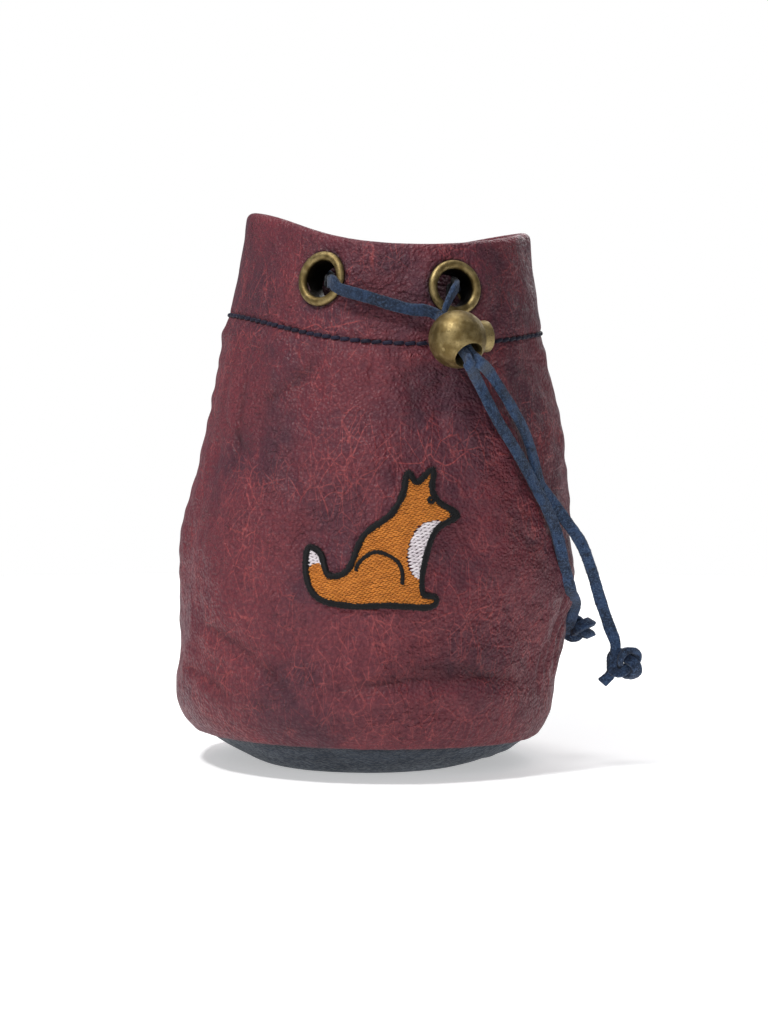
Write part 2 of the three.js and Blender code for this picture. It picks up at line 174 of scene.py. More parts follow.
UP = np.array([0.0, 0.0, 1.0])
AZ = {name: math.radians(a) for name, a in EYELETS.items()}
EYE_CENTRE = {name: wall(a, EYELET_V) for name, a in AZ.items()}
EYE_AXIS = {name: wall_normal(a, EYELET_V) for name, a in AZ.items()}


def span(stretch):
    """The azimuths at which a stretch of the mouth starts and ends."""
    a, b = AZ[stretch[1]], AZ[stretch[2]]
    return a, b if b > a else b + 2 * math.pi


def waves(points, wavelength, seed, count=14):
    """Smooth random waves in space, about -1 to 1."""
    r = np.random.default_rng(seed)
    k = unit(r.normal(size=(count, 3))) * (2 * math.pi / wavelength) * r.uniform(0.7, 1.3, (count, 1))
    phase = r.uniform(0, 2 * math.pi, count)
    return np.cos(points @ k.T + phase).sum(-1) / math.sqrt(count)


# Soft creases of the wall: azimuth and v at each end, depth and half width in millimetres.
CREASES = [
    (-14, 0.115, 58, 0.13, 0.75, 2.8),
    (8, 0.165, 40, 0.15, 0.4, 1.6),
    (-60, 0.24, -18, 0.1, 0.6, 2.4),
    (-66, 0.14, -40, 0.085, 0.45, 1.8),
    (-62, 0.73, -56, 0.5, 0.5, 2.6),
    (-24, 0.765, -50, 0.66, 0.55, 2.4),
    (-70, 0.62, -48, 0.55, 0.35, 1.5),
    (36, 0.47, 60, 0.31, 0.45, 2.6),
    (70, 0.1, 74, 0.34, 0.5, 1.3),
    (76, 0.12, 79, 0.3, 0.5, 1.1),
    (65, 0.08, 67, 0.22, 0.4, 1.2),
    (-38, 1.0, -42, 0.86, 0.45, 2.2),
    (46, 1.0, 42, 0.85, 0.35, 2.0),
    (4, 0.77, 10, 0.66, 0.4, 2.2),
]
for _ in range(26):
    azimuth, low = rng.uniform(95, 265), rng.uniform(0.08, 0.72)
    tilt = rng.uniform(-26, 26)
    CREASES.append((azimuth, low, azimuth + tilt, low + rng.uniform(-0.12, 0.14), rng.uniform(0.3, 0.6),
                    rng.uniform(1.3, 2.8)))


MM_PER_DEGREE = 0.82
MM_PER_V = 129


def creases(turn, v):
    """Depth of the creases at an azimuth in degrees and v."""
    x, y = (turn % 360) * MM_PER_DEGREE, v * MM_PER_V
    total = np.zeros_like(x)
    for az_a, v_a, az_b, v_b, depth, width in CREASES:
        for wrap in (0, 360):
            ax, bx = (az_a + wrap) * MM_PER_DEGREE, (az_b + wrap) * MM_PER_DEGREE
            ay, by = v_a * MM_PER_V, v_b * MM_PER_V
            length2 = (bx - ax) ** 2 + (by - ay) ** 2
            t = ((x - ax) * (bx - ax) + (y - ay) * (by - ay)) / length2
            bow = 0.06 * math.sqrt(length2) * np.sin(math.pi * np.clip(t, 0, 1))
            off = ((x - ax) * (by - ay) - (y - ay) * (bx - ax)) / math.sqrt(length2) + bow
            here = smooth(t, -0.05, 0.3) * (1 - smooth(t, 0.7, 1.05))
            valley = np.exp(-np.abs(off) / width * 1.5) - 0.45 * bell(off, width * 1.9, width)
            total += depth * here * valley
    return total


def relief(phi, v):
    """How far the soft leather stands out of the smooth wall: dents, creases, the hem and the seam."""
    phi, v = np.broadcast_arrays(np.asarray(phi, float), np.asarray(v, float))
    p = wall(phi, v)
    turn = np.degrees(np.arctan2(np.sin(phi), np.cos(phi)))
    body = smooth(v, 0.02, 0.14) * (1 - smooth(v, 0.76, 0.84))
    band = smooth(v, 0.84, 0.88)
    out = 0.8 * waves(p, 36, 1) * body + 0.26 * waves(p * [1, 1, 0.6], 14, 2) * (0.3 + 0.7 * body)
    out += 0.17 * waves(p, 5.5, 3) * (0.4 + 0.6 * body)
    out += 0.34 * waves(p * [1, 1, 0.16], 15, 4) * bell(v, 0.73, 0.1)
    out -= 2.3 * bell(turn, 18, 9) * bell(v, 0.71, 0.05)
    out += 0.9 * bell(turn, -2, 9) * bell(v, 0.68, 0.07)
    out += 0.9 * bell(turn, 34, 8) * bell(v, 0.66, 0.07)
    out -= 1.7 * creases(turn, v) * (body + 0.6 * band)
    out += 0.4 * bell(v, FLAP_V - 0.004, 0.012)
    out -= (0.36 + 0.12 * waves(p, 3.1, 5)) * bell(v, STITCH_V, 0.0085)
    out += 0.3 * bell(v, 0.055, 0.04)
    out += 0.14 * waves(p, 10, 6) * band
    return out


def from_eyelet(p, name):
    """How far points are along an eyelet's axis and away from it."""
    d = p - EYE_CENTRE[name]
    h = d @ EYE_AXIS[name]
    return h, np.linalg.norm(d - h[..., None] * EYE_AXIS[name], axis=-1)


def seat(p, height):
    """Presses points flat under the eyelets' flanges, at a height along each eyelet's axis."""
    for name in EYELETS:
        h, r = from_eyelet(p, name)
        near = (1 - smooth(r, 7.6, 12.5)) * (np.abs(h) < 12)
        p = p + (near * (height - h))[..., None] * EYE_AXIS[name]
    return p


def skin(phi, v):
    """A point of the outer surface as the leather really lies."""
    base = wall(phi, v)
    lifted = base + relief(phi, v)[..., None] * wall_normal(np.asarray(phi, float), np.asarray(v, float))
    return seat(lifted, EYELET_FOOT - 0.08)


# ---- meshes ----------------------------------------------------------------------------------
def mesh_object(name, points, faces, material, attributes=None, flat=False):
    """A mesh from points in millimetres and a list of face index arrays."""
    faces = [np.asarray(f, int) for f in faces if len(f)]
    loops = np.concatenate([f.ravel() for f in faces])
    sizes = np.concatenate([np.full(len(f), f.shape[1]) for f in faces])
    starts = np.concatenate([[0], np.cumsum(sizes)[:-1]])
    mesh = bpy.data.meshes.new(name)
    mesh.vertices.add(len(points))
    mesh.vertices.foreach_set("co", (np.asarray(points, float) * 0.001).ravel())
    mesh.loops.add(len(loops))
    mesh.loops.foreach_set("vertex_index", loops.astype(np.int32))
    mesh.polygons.add(len(sizes))
    mesh.polygons.foreach_set("loop_start", starts.astype(np.int32))
    mesh.update(calc_edges=True)
    mesh.polygons.foreach_set("use_smooth", np.full(len(sizes), not flat))
    rest = mesh.attributes.new("rest", "FLOAT_VECTOR", "POINT")
    rest.data.foreach_set("vector", np.asarray(points, np.float32).ravel())
    for key, values in (attributes or {}).items():
        layer = mesh.attributes.new(key, "FLOAT", "POINT")
        layer.data.foreach_set("value", np.asarray(values, np.float32).ravel())
    obj = bpy.data.objects.new(name, mesh)
    bpy.context.scene.collection.objects.link(obj)
    mesh.materials.append(material)
    return obj


def grid_faces(rows, columns, closed_rows=False, closed_columns=False):
    """Quads of a rows by columns grid of points, wound so that rows cross columns points outwards."""
    i = np.arange(rows if closed_rows else rows - 1)
    j = np.arange(columns if closed_columns else columns - 1)
    i, j = (a.ravel() for a in np.meshgrid(i, j, indexing="ij"))
    i2, j2 = (i + 1) % rows, (j + 1) % columns
    at = lambda a, b: a * columns + b
    return np.stack([at(i, j), at(i, j2), at(i2, j2), at(i2, j)], 1)


def rings(count, segments):
    """Faces of stacked rings, closed by a first and a last point that follow the rings' points."""
    j = np.arange(segments)
    j2 = (j + 1) % segments
    first = np.full(segments, count * segments)
    top = (count - 1) * segments
    return [grid_faces(count, segments, closed_columns=True), np.stack([first, j2, j], 1),
            np.stack([first + 1, top + j, top + j2], 1)]


def revolve(name, outline, centre, axis, material, segments=64, dark=None):
    """A solid of revolution from [radius, height] points, placed along axis; dark is a pair of heights over
    which painted shade fades in going down.
    """
    outline = np.asarray(outline, float)
    on_axis = outline[0, 0] < 1e-6
    ring = outline[1:-1] if on_axis else outline
    angle = np.linspace(0, 2 * math.pi, segments, endpoint=False)
    points = np.stack([
        ring[:, None, 0] * np.cos(angle),
        ring[:, None, 0] * np.sin(angle),
        np.repeat(ring[:, None, 1], segments, 1),
    ], -1).reshape(-1, 3)
    if on_axis:
        points = np.vstack([points, [0, 0, outline[0, 1]], [0, 0, outline[-1, 1]]])
        faces = rings(len(ring), segments)
    else:
        faces = [grid_faces(len(ring), segments, closed_rows=True, closed_columns=True)]
    turn = np.array(Vector((0, 0, 1)).rotation_difference(Vector(axis)).to_matrix())
    masks = {"shade": 1 - smooth(points[:, 2], *dark)} if dark else None
    obj = mesh_object(name, points @ turn.T + centre, faces, material, masks)
    outwards(obj)
    return obj


def outwards(obj):
    """Makes every face of a closed mesh point outwards."""
    bm = bmesh.new()
    bm.from_mesh(obj.data)
    bmesh.ops.recalc_face_normals(bm, faces=bm.faces)
    bm.to_mesh(obj.data)
    bm.free()


def lengths(path):
    """How far along the path each of its points is."""
    return np.concatenate([[0], np.cumsum(np.linalg.norm(np.diff(path, axis=0), axis=1))])


def places(path, at):
    """Points of the path at these lengths along it."""
    return np.stack([np.interp(at, lengths(path), column) for column in path.T], 1)


def part_way(t, a, b, low, high):
    """From a at low to b at high, at t."""
    return (high - t) / (high - low) * a + (t - low) / (high - low) * b


def catmull(points, spacing, closed=False):
    """Evenly spaced points along a centripetal Catmull-Rom curve."""
    p = np.asarray(points, float)
    if closed:
        p = np.vstack([p[-1], p, p[0], p[1]])
    else:
        p = np.vstack([2 * p[0] - p[1], p, 2 * p[-1] - p[-2]])
    pieces = []
    for i in range(1, len(p) - 2):
        near = p[i - 1:i + 3]
        gaps = np.maximum(np.linalg.norm(np.diff(near, axis=0), axis=1), 1e-6) ** 0.5
        knots = np.cumsum([0, *gaps])
        t = np.linspace(knots[1], knots[2], 40, endpoint=i == len(p) - 3)[:, None]
        for reach in (1, 2):
            near = [part_way(t, near[k], near[k + 1], knots[k], knots[k + reach]) for k in range(4 - reach)]
        pieces.append(part_way(t, *near, knots[1], knots[2]))
    path = np.vstack(pieces)
    total = lengths(path)[-1]
    return places(path, np.linspace(0, total, max(3, int(total / spacing) + 1)))


def sweep(path, sides, section, scale=None):
    """Points and faces of a closed tube: section and scale have columns for the side and the normal."""
    tangent = unit(np.gradient(path, axis=0))
    side = unit(sides - (sides * tangent).sum(1, keepdims=True) * tangent)
    normal = np.cross(tangent, side)
    scale = 1.0 if scale is None else np.reshape(scale, (len(path), 1, -1))
    placed = section[None] * scale
    points = path[:, None] + side[:, None] * placed[..., :1] + normal[:, None] * placed[..., 1:]
    n = len(section)
    faces = [grid_faces(len(path), n, closed_columns=True)]
    ends = np.arange(n)
    caps = [ends[None, ::-1], (len(path) - 1) * n + ends[None]]
    return points.reshape(-1, 3), faces + caps


def carried(path, side):
    """Side directions carried along a path with as little twist as possible."""
    sides = []
    for direction in unit(np.gradient(path, axis=0)):
        side = unit(side - side @ direction * direction)
        sides.append(side)
    return np.array(sides)


def join(parts):
    """Merges several (points, faces) into one."""
    points, faces, at = [], [], 0
    for p, fs in parts:
        points.append(p)
        faces += [np.asarray(f) + at for f in fs]
        at += len(p)
    return np.vstack(points), faces


# ---- materials -------------------------------------------------------------------------------
def linear(r, g, b):
    """A display colour, 0 to 255, as scene linear."""
    c = np.array([r, g, b]) / 255
    return tuple(np.where(c <= 0.04045, c / 12.92, ((c + 0.055) / 1.055) ** 2.4)) + (1.0,)


class Nodes:
    """Short calls for building a node material in millimetres."""

    def __init__(self, name, attribute="rest"):
        self.material = bpy.data.materials.new(name)
        self.material.use_nodes = True
        self.tree = self.material.node_tree
        self.tree.nodes.clear()
        self.bsdf = self.new("ShaderNodeBsdfPrincipled")
        self.new("ShaderNodeOutputMaterial", {0: self.bsdf.outputs[0]})
        if attribute:
            self.place = self.new("ShaderNodeAttribute", attribute_name=attribute).outputs["Vector"]
        else:
            metres = {0: self.new("ShaderNodeTexCoord").outputs["Object"], "Scale": 1000}
            self.place = self.new("ShaderNodeVectorMath", metres, operation="SCALE").outputs[0]

    def new(self, kind, inputs=None, **properties):
        node = self.tree.nodes.new(kind)
        for key, value in properties.items():
            setattr(node, key, value)
        for key, value in (inputs or {}).items():
            self.put(node.inputs[key], value)
        return node

    def put(self, socket, value):
        if isinstance(value, bpy.types.NodeSocket):
            self.tree.links.new(value, socket)
        else:
            socket.default_value = value

    def set(self, **values):
        for key, value in values.items():
            self.put(self.bsdf.inputs[key.replace("_", " ")], value)

    def turned(self, angle, stretch):
        """The place turned about the depth axis and squeezed along its own height."""
        return self.new("ShaderNodeMapping", {
            "Vector": self.place, "Rotation": (0.0, angle, angle / 3), "Scale": (1.0, 1.0, stretch),
        }).outputs[0]

    def noise(self, size, detail=3, rough=0.55, warp=0.0, place=None):
        return self.new("ShaderNodeTexNoise", {
            "Vector": place or self.place, "Scale": 1 / size, "Detail": detail, "Roughness": rough,
            "Distortion": warp,
        }).outputs["Fac"]

    def warped(self, size, amount, place=None):
        """The place, pushed about by noise."""
        place = place or self.place
        push = self.new("ShaderNodeTexNoise", {"Vector": place, "Scale": 1 / size, "Detail": 2})
        inputs = {0: push.outputs["Color"], 1: (amount,) * 3, 2: place}
        return self.new("ShaderNodeVectorMath", inputs, operation="MULTIPLY_ADD").outputs[0]

    def cells(self, size, feature, place, **inputs):
        inputs.update(Vector=place, Scale=1 / size)
        return self.new("ShaderNodeTexVoronoi", inputs, feature=feature).outputs["Distance"]

    def ramp(self, value, low, high, to_low=0.0, to_high=1.0):
        return self.new("ShaderNodeMapRange", {
            "Value": value, "From Min": low, "From Max": high, "To Min": to_low, "To Max": to_high,
        }, interpolation_type="SMOOTHSTEP").outputs[0]

    def math(self, operation, a, b):
        return self.new("ShaderNodeMath", {0: a, 1: b}, operation=operation).outputs[0]

    def mix(self, factor, a, b):
        return self.new("ShaderNodeMix", {"Factor": factor, 6: a, 7: b}, data_type="RGBA").outputs[2]

    def attribute(self, name):
        return self.new("ShaderNodeAttribute", attribute_name=name).outputs["Fac"]

    def bump(self, height, distance, strength=1.0, normal=None):
        """distance in millimetres."""
        inputs = {"Strength": strength, "Distance": distance * 0.001, "Height": height}
        if normal is not None:
            inputs["Normal"] = normal
        return self.new("ShaderNodeBump", inputs).outputs[0]


def leather_material(name, mid, dark, bright, vein, sheen, strength=1.0):
    """Waxed pull-up leather: smoky patches, a web of fine pale cracks, pebble grain, worn edges, painted
    shade, a painted highlight on crease shoulders and a painted sheen at grazing angles.
    """
    m = Nodes(name)
    smoke_and_shade = m.attribute("smoke_and_shade")
    patches = m.math("ADD", m.noise(24, 4, 0.6, 0.3), m.math("MULTIPLY", smoke_and_shade, -0.16))
    mottle = m.noise(5, 5, 0.66)
    colour = m.mix(m.ramp(patches, 0.28, 0.6), dark, mid)
    colour = m.mix(m.ramp(mottle, 0.42, 0.72, 0, 0.34), colour, bright)
    web_here = m.math("ADD", m.ramp(m.noise(20, 4, 0.6), 0.38, 0.62), m.math("MULTIPLY", smoke_and_shade, -0.6))
    web_here = m.ramp(web_here, -0.1, 0.9, 0.08, 1.0)
    lines = None
    webs = (
        (0.5, 8.0, 0.015, 0.8),
        (-0.7, 6.0, 0.018, 0.75),
        (1.3, 3.8, 0.024, 0.62),
        (-1.1, 5.0, 0.019, 0.66),
        (-0.2, 2.4, 0.034, 0.42),
    )
    for tilt, size, width, amount in webs:
        place = m.turned(tilt, 0.5)
        crack = m.cells(size, "DISTANCE_TO_EDGE", m.warped(size * 0.7, size * 0.16, place))
        line = m.math("MULTIPLY", m.ramp(crack, width * 0.25, width, amount, 0), web_here)
        line = m.math("MULTIPLY", line, m.ramp(m.noise(size * 1.4, 3, place=place), 0.42, 0.54))
        lines = line if lines is None else m.math("MAXIMUM", lines, line)
    colour = m.mix(m.math("MULTIPLY", lines, strength), colour, vein)
    pebble = m.cells(0.9, "SMOOTH_F1", m.warped(1.3, 0.6), Smoothness=0.2)
    valley = m.ramp(pebble, 0.38, 0.72)
    wrinkle = m.noise(2.1, 4, 0.62, 0.7, m.turned(0.25, 1.8))
    rough_here = m.math("ADD", m.noise(17, 3, 0.6), m.math("MULTIPLY", smoke_and_shade, 0.1))
    rough_here = m.ramp(rough_here, 0.4, 0.66, 0.4, 1.0)
    colour = m.mix(m.math("MULTIPLY", valley, 0.36), colour, dark)
    colour = m.mix(m.ramp(wrinkle, 0.34, 0.48, 0.34, 0), colour, dark)
    # Paler where worn, and on crease shoulders as a painted highlight.
    colour = m.mix(m.math("MULTIPLY", m.attribute("wear_and_highlight"), 0.45), colour, bright)
    # Painted shade: darkened towards near black where the shade attribute says.
    deep = tuple(c * 0.3 for c in dark[:3]) + (1,)
    colour = m.mix(m.math("MULTIPLY", m.attribute("shade"), 0.85), colour, deep)
    # Painted sheen: a purple-grey tint mixed in at grazing angles.
    facing = m.new("ShaderNodeLayerWeight", {"Blend": 0.3}).outputs["Facing"]
    colour = m.mix(m.ramp(facing, 0.35, 1.0, 0, 0.22), colour, sheen)
    rough = m.math("ADD", m.ramp(mottle, 0.3, 0.75, 0.52, 0.38), m.math("MULTIPLY", valley, 0.2))
    m.set(Base_Color=colour, Roughness=rough, Specular_IOR_Level=0.33)
    crumple = m.bump(m.math("MULTIPLY", m.noise(4.6, 4, 0.6, 0.3), rough_here), 1.7, 0.85)
    wrinkles = m.bump(m.math("MULTIPLY", wrinkle, rough_here), 0.95, 0.85, crumple)
    grain = m.bump(m.math("SUBTRACT", 1.0, pebble), 0.38, 1.0, wrinkles)
    m.set(Normal=m.bump(m.noise(0.25, 3), 0.04, 0.7, grain))
    return m.material


def brass_material():
    """Antique brass: dark in its hollows, rubbed paler on its high spots, speckled and finely pitted, and
    painted in near-black shade where the shade attribute says it is inside an eyelet.
    """
    m = Nodes("antique_brass", None)
    point = m.new("ShaderNodeNewGeometry").outputs["Pointiness"]
    tarnish = m.noise(2.4, 5, 0.62)
    worn = m.math("ADD", m.ramp(point, 0.47, 0.56), m.ramp(tarnish, 0.35, 0.65, -0.35, 0.35))
    colour = m.mix(m.ramp(worn, 0.0, 1.0), linear(108, 91, 56), linear(158, 140, 97))
    colour = m.mix(m.ramp(m.noise(0.6, 4, 0.75), 0.5, 0.68, 0, 0.75), colour, linear(84, 70, 44))
    # Painted shade inside the eyelets' barrels.
    colour = m.mix(m.math("MULTIPLY", m.attribute("shade"), 0.97), colour, linear(16, 13, 10))
    m.set(Base_Color=colour, Metallic=1.0, Roughness=m.ramp(m.noise(1.3, 4), 0.3, 0.7, 0.44, 0.6))
    pits = m.noise(0.4, 3, 0.7)
    m.set(Normal=m.bump(pits, 0.12, 0.8, m.bump(tarnish, 0.12, 0.4)))
    return m.material


def steel_material():
    m = Nodes("spring_steel", None)
    rough = m.ramp(m.noise(0.6), 0.3, 0.7, 0.22, 0.4)
    m.set(Base_Color=linear(170, 170, 172), Metallic=1.0, Roughness=rough)
    return m.material


def suede_material():
    """Napped suede lace, flecked pale and dark, and nearly black where shade says it is hidden."""
    m = Nodes("navy_suede")
    nap = m.noise(0.5, 5, 0.75)
    colour = m.mix(m.ramp(m.noise(5, 3), 0.35, 0.65), linear(36, 45, 62), linear(47, 67, 98))
    colour = m.mix(m.ramp(nap, 0.45, 0.68, 0, 0.75), colour, linear(84, 108, 141))
    colour = m.mix(m.ramp(m.noise(1.3, 4, 0.7), 0.5, 0.66, 0, 0.75), colour, linear(18, 24, 36))
    colour = m.mix(m.math("MULTIPLY", m.attribute("shade"), 0.96), colour, linear(8, 9, 12))
    m.set(Base_Color=colour, Roughness=0.95, Sheen_Weight=0.12, Sheen_Roughness=0.5, Specular_IOR_Level=0.2)
    m.set(Normal=m.bump(nap, 0.3, 0.9, m.bump(m.noise(0.16, 3, 0.7), 0.08, 0.8)))
    return m.material


def thread_material(name, colour, dark, rough):
    """Twisted thread: fine slanting plies and a slight change of tone from stitch to stitch."""
    m = Nodes(name)
    tone = m.attribute("tone")
    squeezed = m.new("ShaderNodeVectorMath", {0: m.place, 1: (1, 1, 1.6)}, operation="MULTIPLY").outputs[0]
    plies = m.noise(0.16, 2, 0.5, 0, squeezed)
    mixed = m.mix(m.ramp(tone, 0, 1, 0, 0.55), colour, dark)
    mixed = m.mix(m.ramp(plies, 0.45, 0.65, 0, 0.35), mixed, dark)
    m.set(Base_Color=mixed, Roughness=rough, Sheen_Weight=0.04, Specular_IOR_Level=0.22,
          Normal=m.bump(plies, 0.06, 0.7))
    return m.material


OXBLOOD = leather_material(
    "oxblood_leather", linear(100, 38, 47), linear(66, 30, 43), linear(118, 48, 56),
    linear(152, 68, 68), linear(104, 80, 92))
NAVY = leather_material(
    "navy_leather", linear(50, 58, 70), linear(32, 39, 50), linear(70, 80, 92),
    linear(78, 90, 104), linear(100, 112, 124), 0.4)
BRASS = brass_material()
STEEL = steel_material()
SUEDE = suede_material()
THREAD = thread_material("sewing_thread", linear(26, 23, 46), linear(10, 9, 22), 0.6)
ORANGE = thread_material("orange_thread", linear(205, 128, 50), linear(158, 90, 30), 0.55)
BLACK = thread_material("black_thread", linear(12, 12, 15), linear(5, 5, 6), 0.55)
WHITE = thread_material("white_thread", linear(232, 224, 226), linear(186, 174, 180), 0.45)


# ---- the wall --------------------------------------------------------------------------------
def bending(stretch):
    """The bodies a stretch of the mouth bends between, and where on the chord of its eyelets it does."""
    _, first, last, body_a, body_b = stretch
    a, b = EYE_CENTRE[first] * [1, 1, 0], EYE_CENTRE[last] * [1, 1, 0]
    middle, reach = (a + b) / 2, 0.93 * (b - a) / 2
    return body_a, body_b, middle - reach, middle + reach


def attach(obj, slot, *nodes, body=None, blend=None):
    """Puts a piece on its body, or with blend bakes its place into its mesh, and hides the CAD parts it
    replaces.
    """
    if blend:
        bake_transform(obj)
    else:
        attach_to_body(obj, body)
    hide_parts(*nodes)


def section_rows():
    """Paired rows of the wall's section: outer (inset, v) and inner (inset, v), bottom to top."""
    v = np.unique(np.concatenate([
        np.linspace(0.004, 1.0, 168),
        STITCH_V + np.linspace(-0.014, 0.014, 11),
        FLAP_V + np.array([-0.004, -0.0025, 0.0, 0.0015]),
    ]))
    inner = LEATHER + (HEM - LEATHER) * smooth(v, FLAP_V - 0.003, FLAP_V)
    edge = np.array([0.5, 0.2])
    a = np.radians(np.arange(15, 90, 15))
    roll = HEM / 2 * (1 - np.cos(a))
    rows_v = np.concatenate([[0.0, 0.001], v, 1 + ROLL_RISE * np.sin(a)])
    outer = np.concatenate([edge, np.zeros_like(v), roll])
    inner = np.concatenate([LEATHER - edge, inner, HEM - roll])
    return np.stack([outer, rows_v], 1), np.stack([inner, rows_v], 1), np.array([HEM / 2, 1 + ROLL_RISE])


def leather_stretch(stretch):
    """One stretch of the wall between two eyelets, half of each eyelet's hole cut out of its sides."""
    a, b = span(stretch)
    outer, inner, apex = section_rows()
    columns = int((b - a) * 46 / 0.8)
    s = np.linspace(0, 1, columns)

    def azimuths(v):
        dz = (v - EYELET_V) * (rim_z(a) - seam_z(a))
        hole = HOLE_HALF_WIDTH * np.sqrt(np.clip(1 - (dz / HOLE_HALF_HEIGHT) ** 2, 0, 1)) / MOUTH_R
        return (a + hole)[:, None] * (1 - s) + (b - hole)[:, None] * s

    def surface(rows, inside):
        phi, v, inset = azimuths(rows[:, 1]), rows[:, 1][:, None], rows[:, 0][:, None]
        normal = wall_normal(phi, np.broadcast_to(v, phi.shape))
        out = relief(phi, v)
        if inside:
            out = np.where(inset > LEATHER + 0.2, 0.1, 0.75) * out
        p = wall(phi, v, inset) + out[..., None] * normal
        return seat(p, WASHER_TOP + 0.08 if inside else EYELET_FOOT - 0.08), phi, v

    top_phi = azimuths(np.array([apex[1]]))
    outside, phi, v = surface(outer, False)
    inside, _, _ = surface(inner, True)
    crest = wall(top_phi, apex[1], apex[0]) + 0.1 * relief(top_phi, apex[1])[..., None] * [0, 0, 1]
    rows = len(outer)
    points = np.concatenate([outside.reshape(-1, 3), crest.reshape(-1, 3), inside[::-1].reshape(-1, 3)])
    total = 2 * rows + 1
    sheet = grid_faces(total, columns, closed_rows=True)[:, ::-1]
    j = np.arange(rows)
    at = lambda row, column: row * columns + column
    opposite = 2 * rows - j
    caps = []
    for column, flip in ((0, False), (columns - 1, True)):
        lower, upper = j[:-1], j[1:]
        across, back = opposite[1:], opposite[:-1]
        quad = np.stack([at(row, column) for row in (lower, upper, across, back)], 1)
        tip = np.array([[at(rows - 1, column), at(rows, column), at(rows + 1, column)]])
        caps += [quad[:, ::-1] if flip else quad, tip[:, ::-1] if flip else tip]

    all_phi = np.concatenate([phi, top_phi, phi[::-1]]).ravel()
    all_v = np.concatenate([np.broadcast_to(v, phi.shape), np.full(top_phi.shape, apex[1]),
                            np.broadcast_to(v, phi.shape)[::-1]]).ravel()
    masks = leather_masks(points, all_phi, all_v)
    # The flesh side inside the bag, below the rim, is painted in full shade.
    flesh = np.arange(len(points)) >= (rows + 1) * columns
    masks["shade"] = np.where(flesh & (all_v < 0.99), 1.0, masks["shade"])
    obj = mesh_object(f"leather_{stretch[0]}", points, [sheet] + caps, OXBLOOD, masks)
    outwards(obj)
    smooth_seams(obj, outside, columns, rows)
    return obj


# Darker and redder patches of the front: azimuth, v, their spreads, and how dark (negative is redder). The
# first is painted shade in the dent under the lock; the rest are the leather's own tone.
PATCHES = [
    (18, 0.72, 9, 0.055, 2.0), (8, 0.9, 10, 0.06, 0.8), (-58, 0.52, 14, 0.12, 0.8),
    (16, 0.42, 14, 0.07, 0.6), (-26, 0.13, 16, 0.05, 0.8), (42, 0.2, 14, 0.08, 0.7),
    (52, 0.72, 12, 0.1, 0.6), (38, 0.93, 14, 0.05, 0.7), (-40, 0.9, 12, 0.06, -0.8),
    (-24, 0.68, 12, 0.08, -0.8), (-4, 0.2, 12, 0.12, -1.0), (26, 0.28, 10, 0.06, -0.8),
    (-36, 0.3, 14, 0.14, -0.5), (34, 0.53, 9, 0.05, -0.5),
]


def leather_masks(points, phi, v):
    """Wear on folds and edges, a painted highlight on crease shoulders, painted shade in grooves, a painted
    shadow ring round the eyelets, smoky patches with painted shade in the dent under the lock.
    """
    turn = np.degrees(np.arctan2(np.sin(phi), np.cos(phi)))
    wear_and_highlight = smooth(v, 0.985, 1.01) + 0.7 * bell(v, 0.006, 0.012) + 0.35 * bell(v, FLAP_V - 0.004, 0.008)
    fold = creases(turn, v)
    # Painted shade along the stitch groove and in crease valleys; crease shoulders are made paler, partly
    # wear and partly a painted highlight.
    shade = 0.9 * bell(v, STITCH_V, 0.0045) + 0.75 * np.clip(fold, 0, 1)
    wear_and_highlight = wear_and_highlight + 1.2 * np.clip(-fold, 0, 1)
    smoke_and_shade = 0.5 * waves(points, 40, 9) * smooth(np.abs(turn), 70, 95) + 0.5 * smooth(v, 0.8, 0.86)
    for azimuth, at, spread, height, amount in PATCHES:
        smoke_and_shade = smoke_and_shade + amount * bell(turn, azimuth, spread) * bell(v, at, height)
    for name in EYELETS:
        h, r = from_eyelet(points, name)
        shade = shade + (1 - smooth(r, 6.9, 8.2)) * (np.abs(h) < 3)
    patchy = 0.6 + 0.4 * waves(points, 11, 8)
    return {"wear_and_highlight": np.clip(wear_and_highlight * patchy, 0, 1), "shade": np.clip(shade, 0, 1), "smoke_and_shade": smoke_and_shade}


def smooth_seams(obj, outside, columns, rows):
    """Gives both edges of a stretch the normals of the whole wall, so that no line shows there."""
    mesh = obj.data
    normals = np.array([vertex.normal for vertex in mesh.vertices])
    grid = normals[:rows * columns].reshape(rows, columns, 3)
    for edge, inner in ((0, 1), (columns - 1, columns - 2)):
        up = np.gradient(outside[:, edge], axis=0)
        azimuth = np.arctan2(outside[:, edge, 0] - 5, -outside[:, edge, 1])
        side = np.stack([np.cos(azimuth), np.sin(azimuth), np.zeros(rows)], 1)
        corrected = unit(np.cross(side, up))
        lean = grid[:, inner] - (grid[:, inner] * corrected).sum(1, keepdims=True) * corrected
        grid[:, edge] = unit(corrected + 0.5 * lean)
    normals[:rows * columns] = grid.reshape(-1, 3)
    mesh.normals_split_custom_set_from_vertices([tuple(n) for n in normals])


for stretch in STRETCHES:
    attach(leather_stretch(stretch), "oxblood_leather", "bag_wall", blend=bending(stretch))


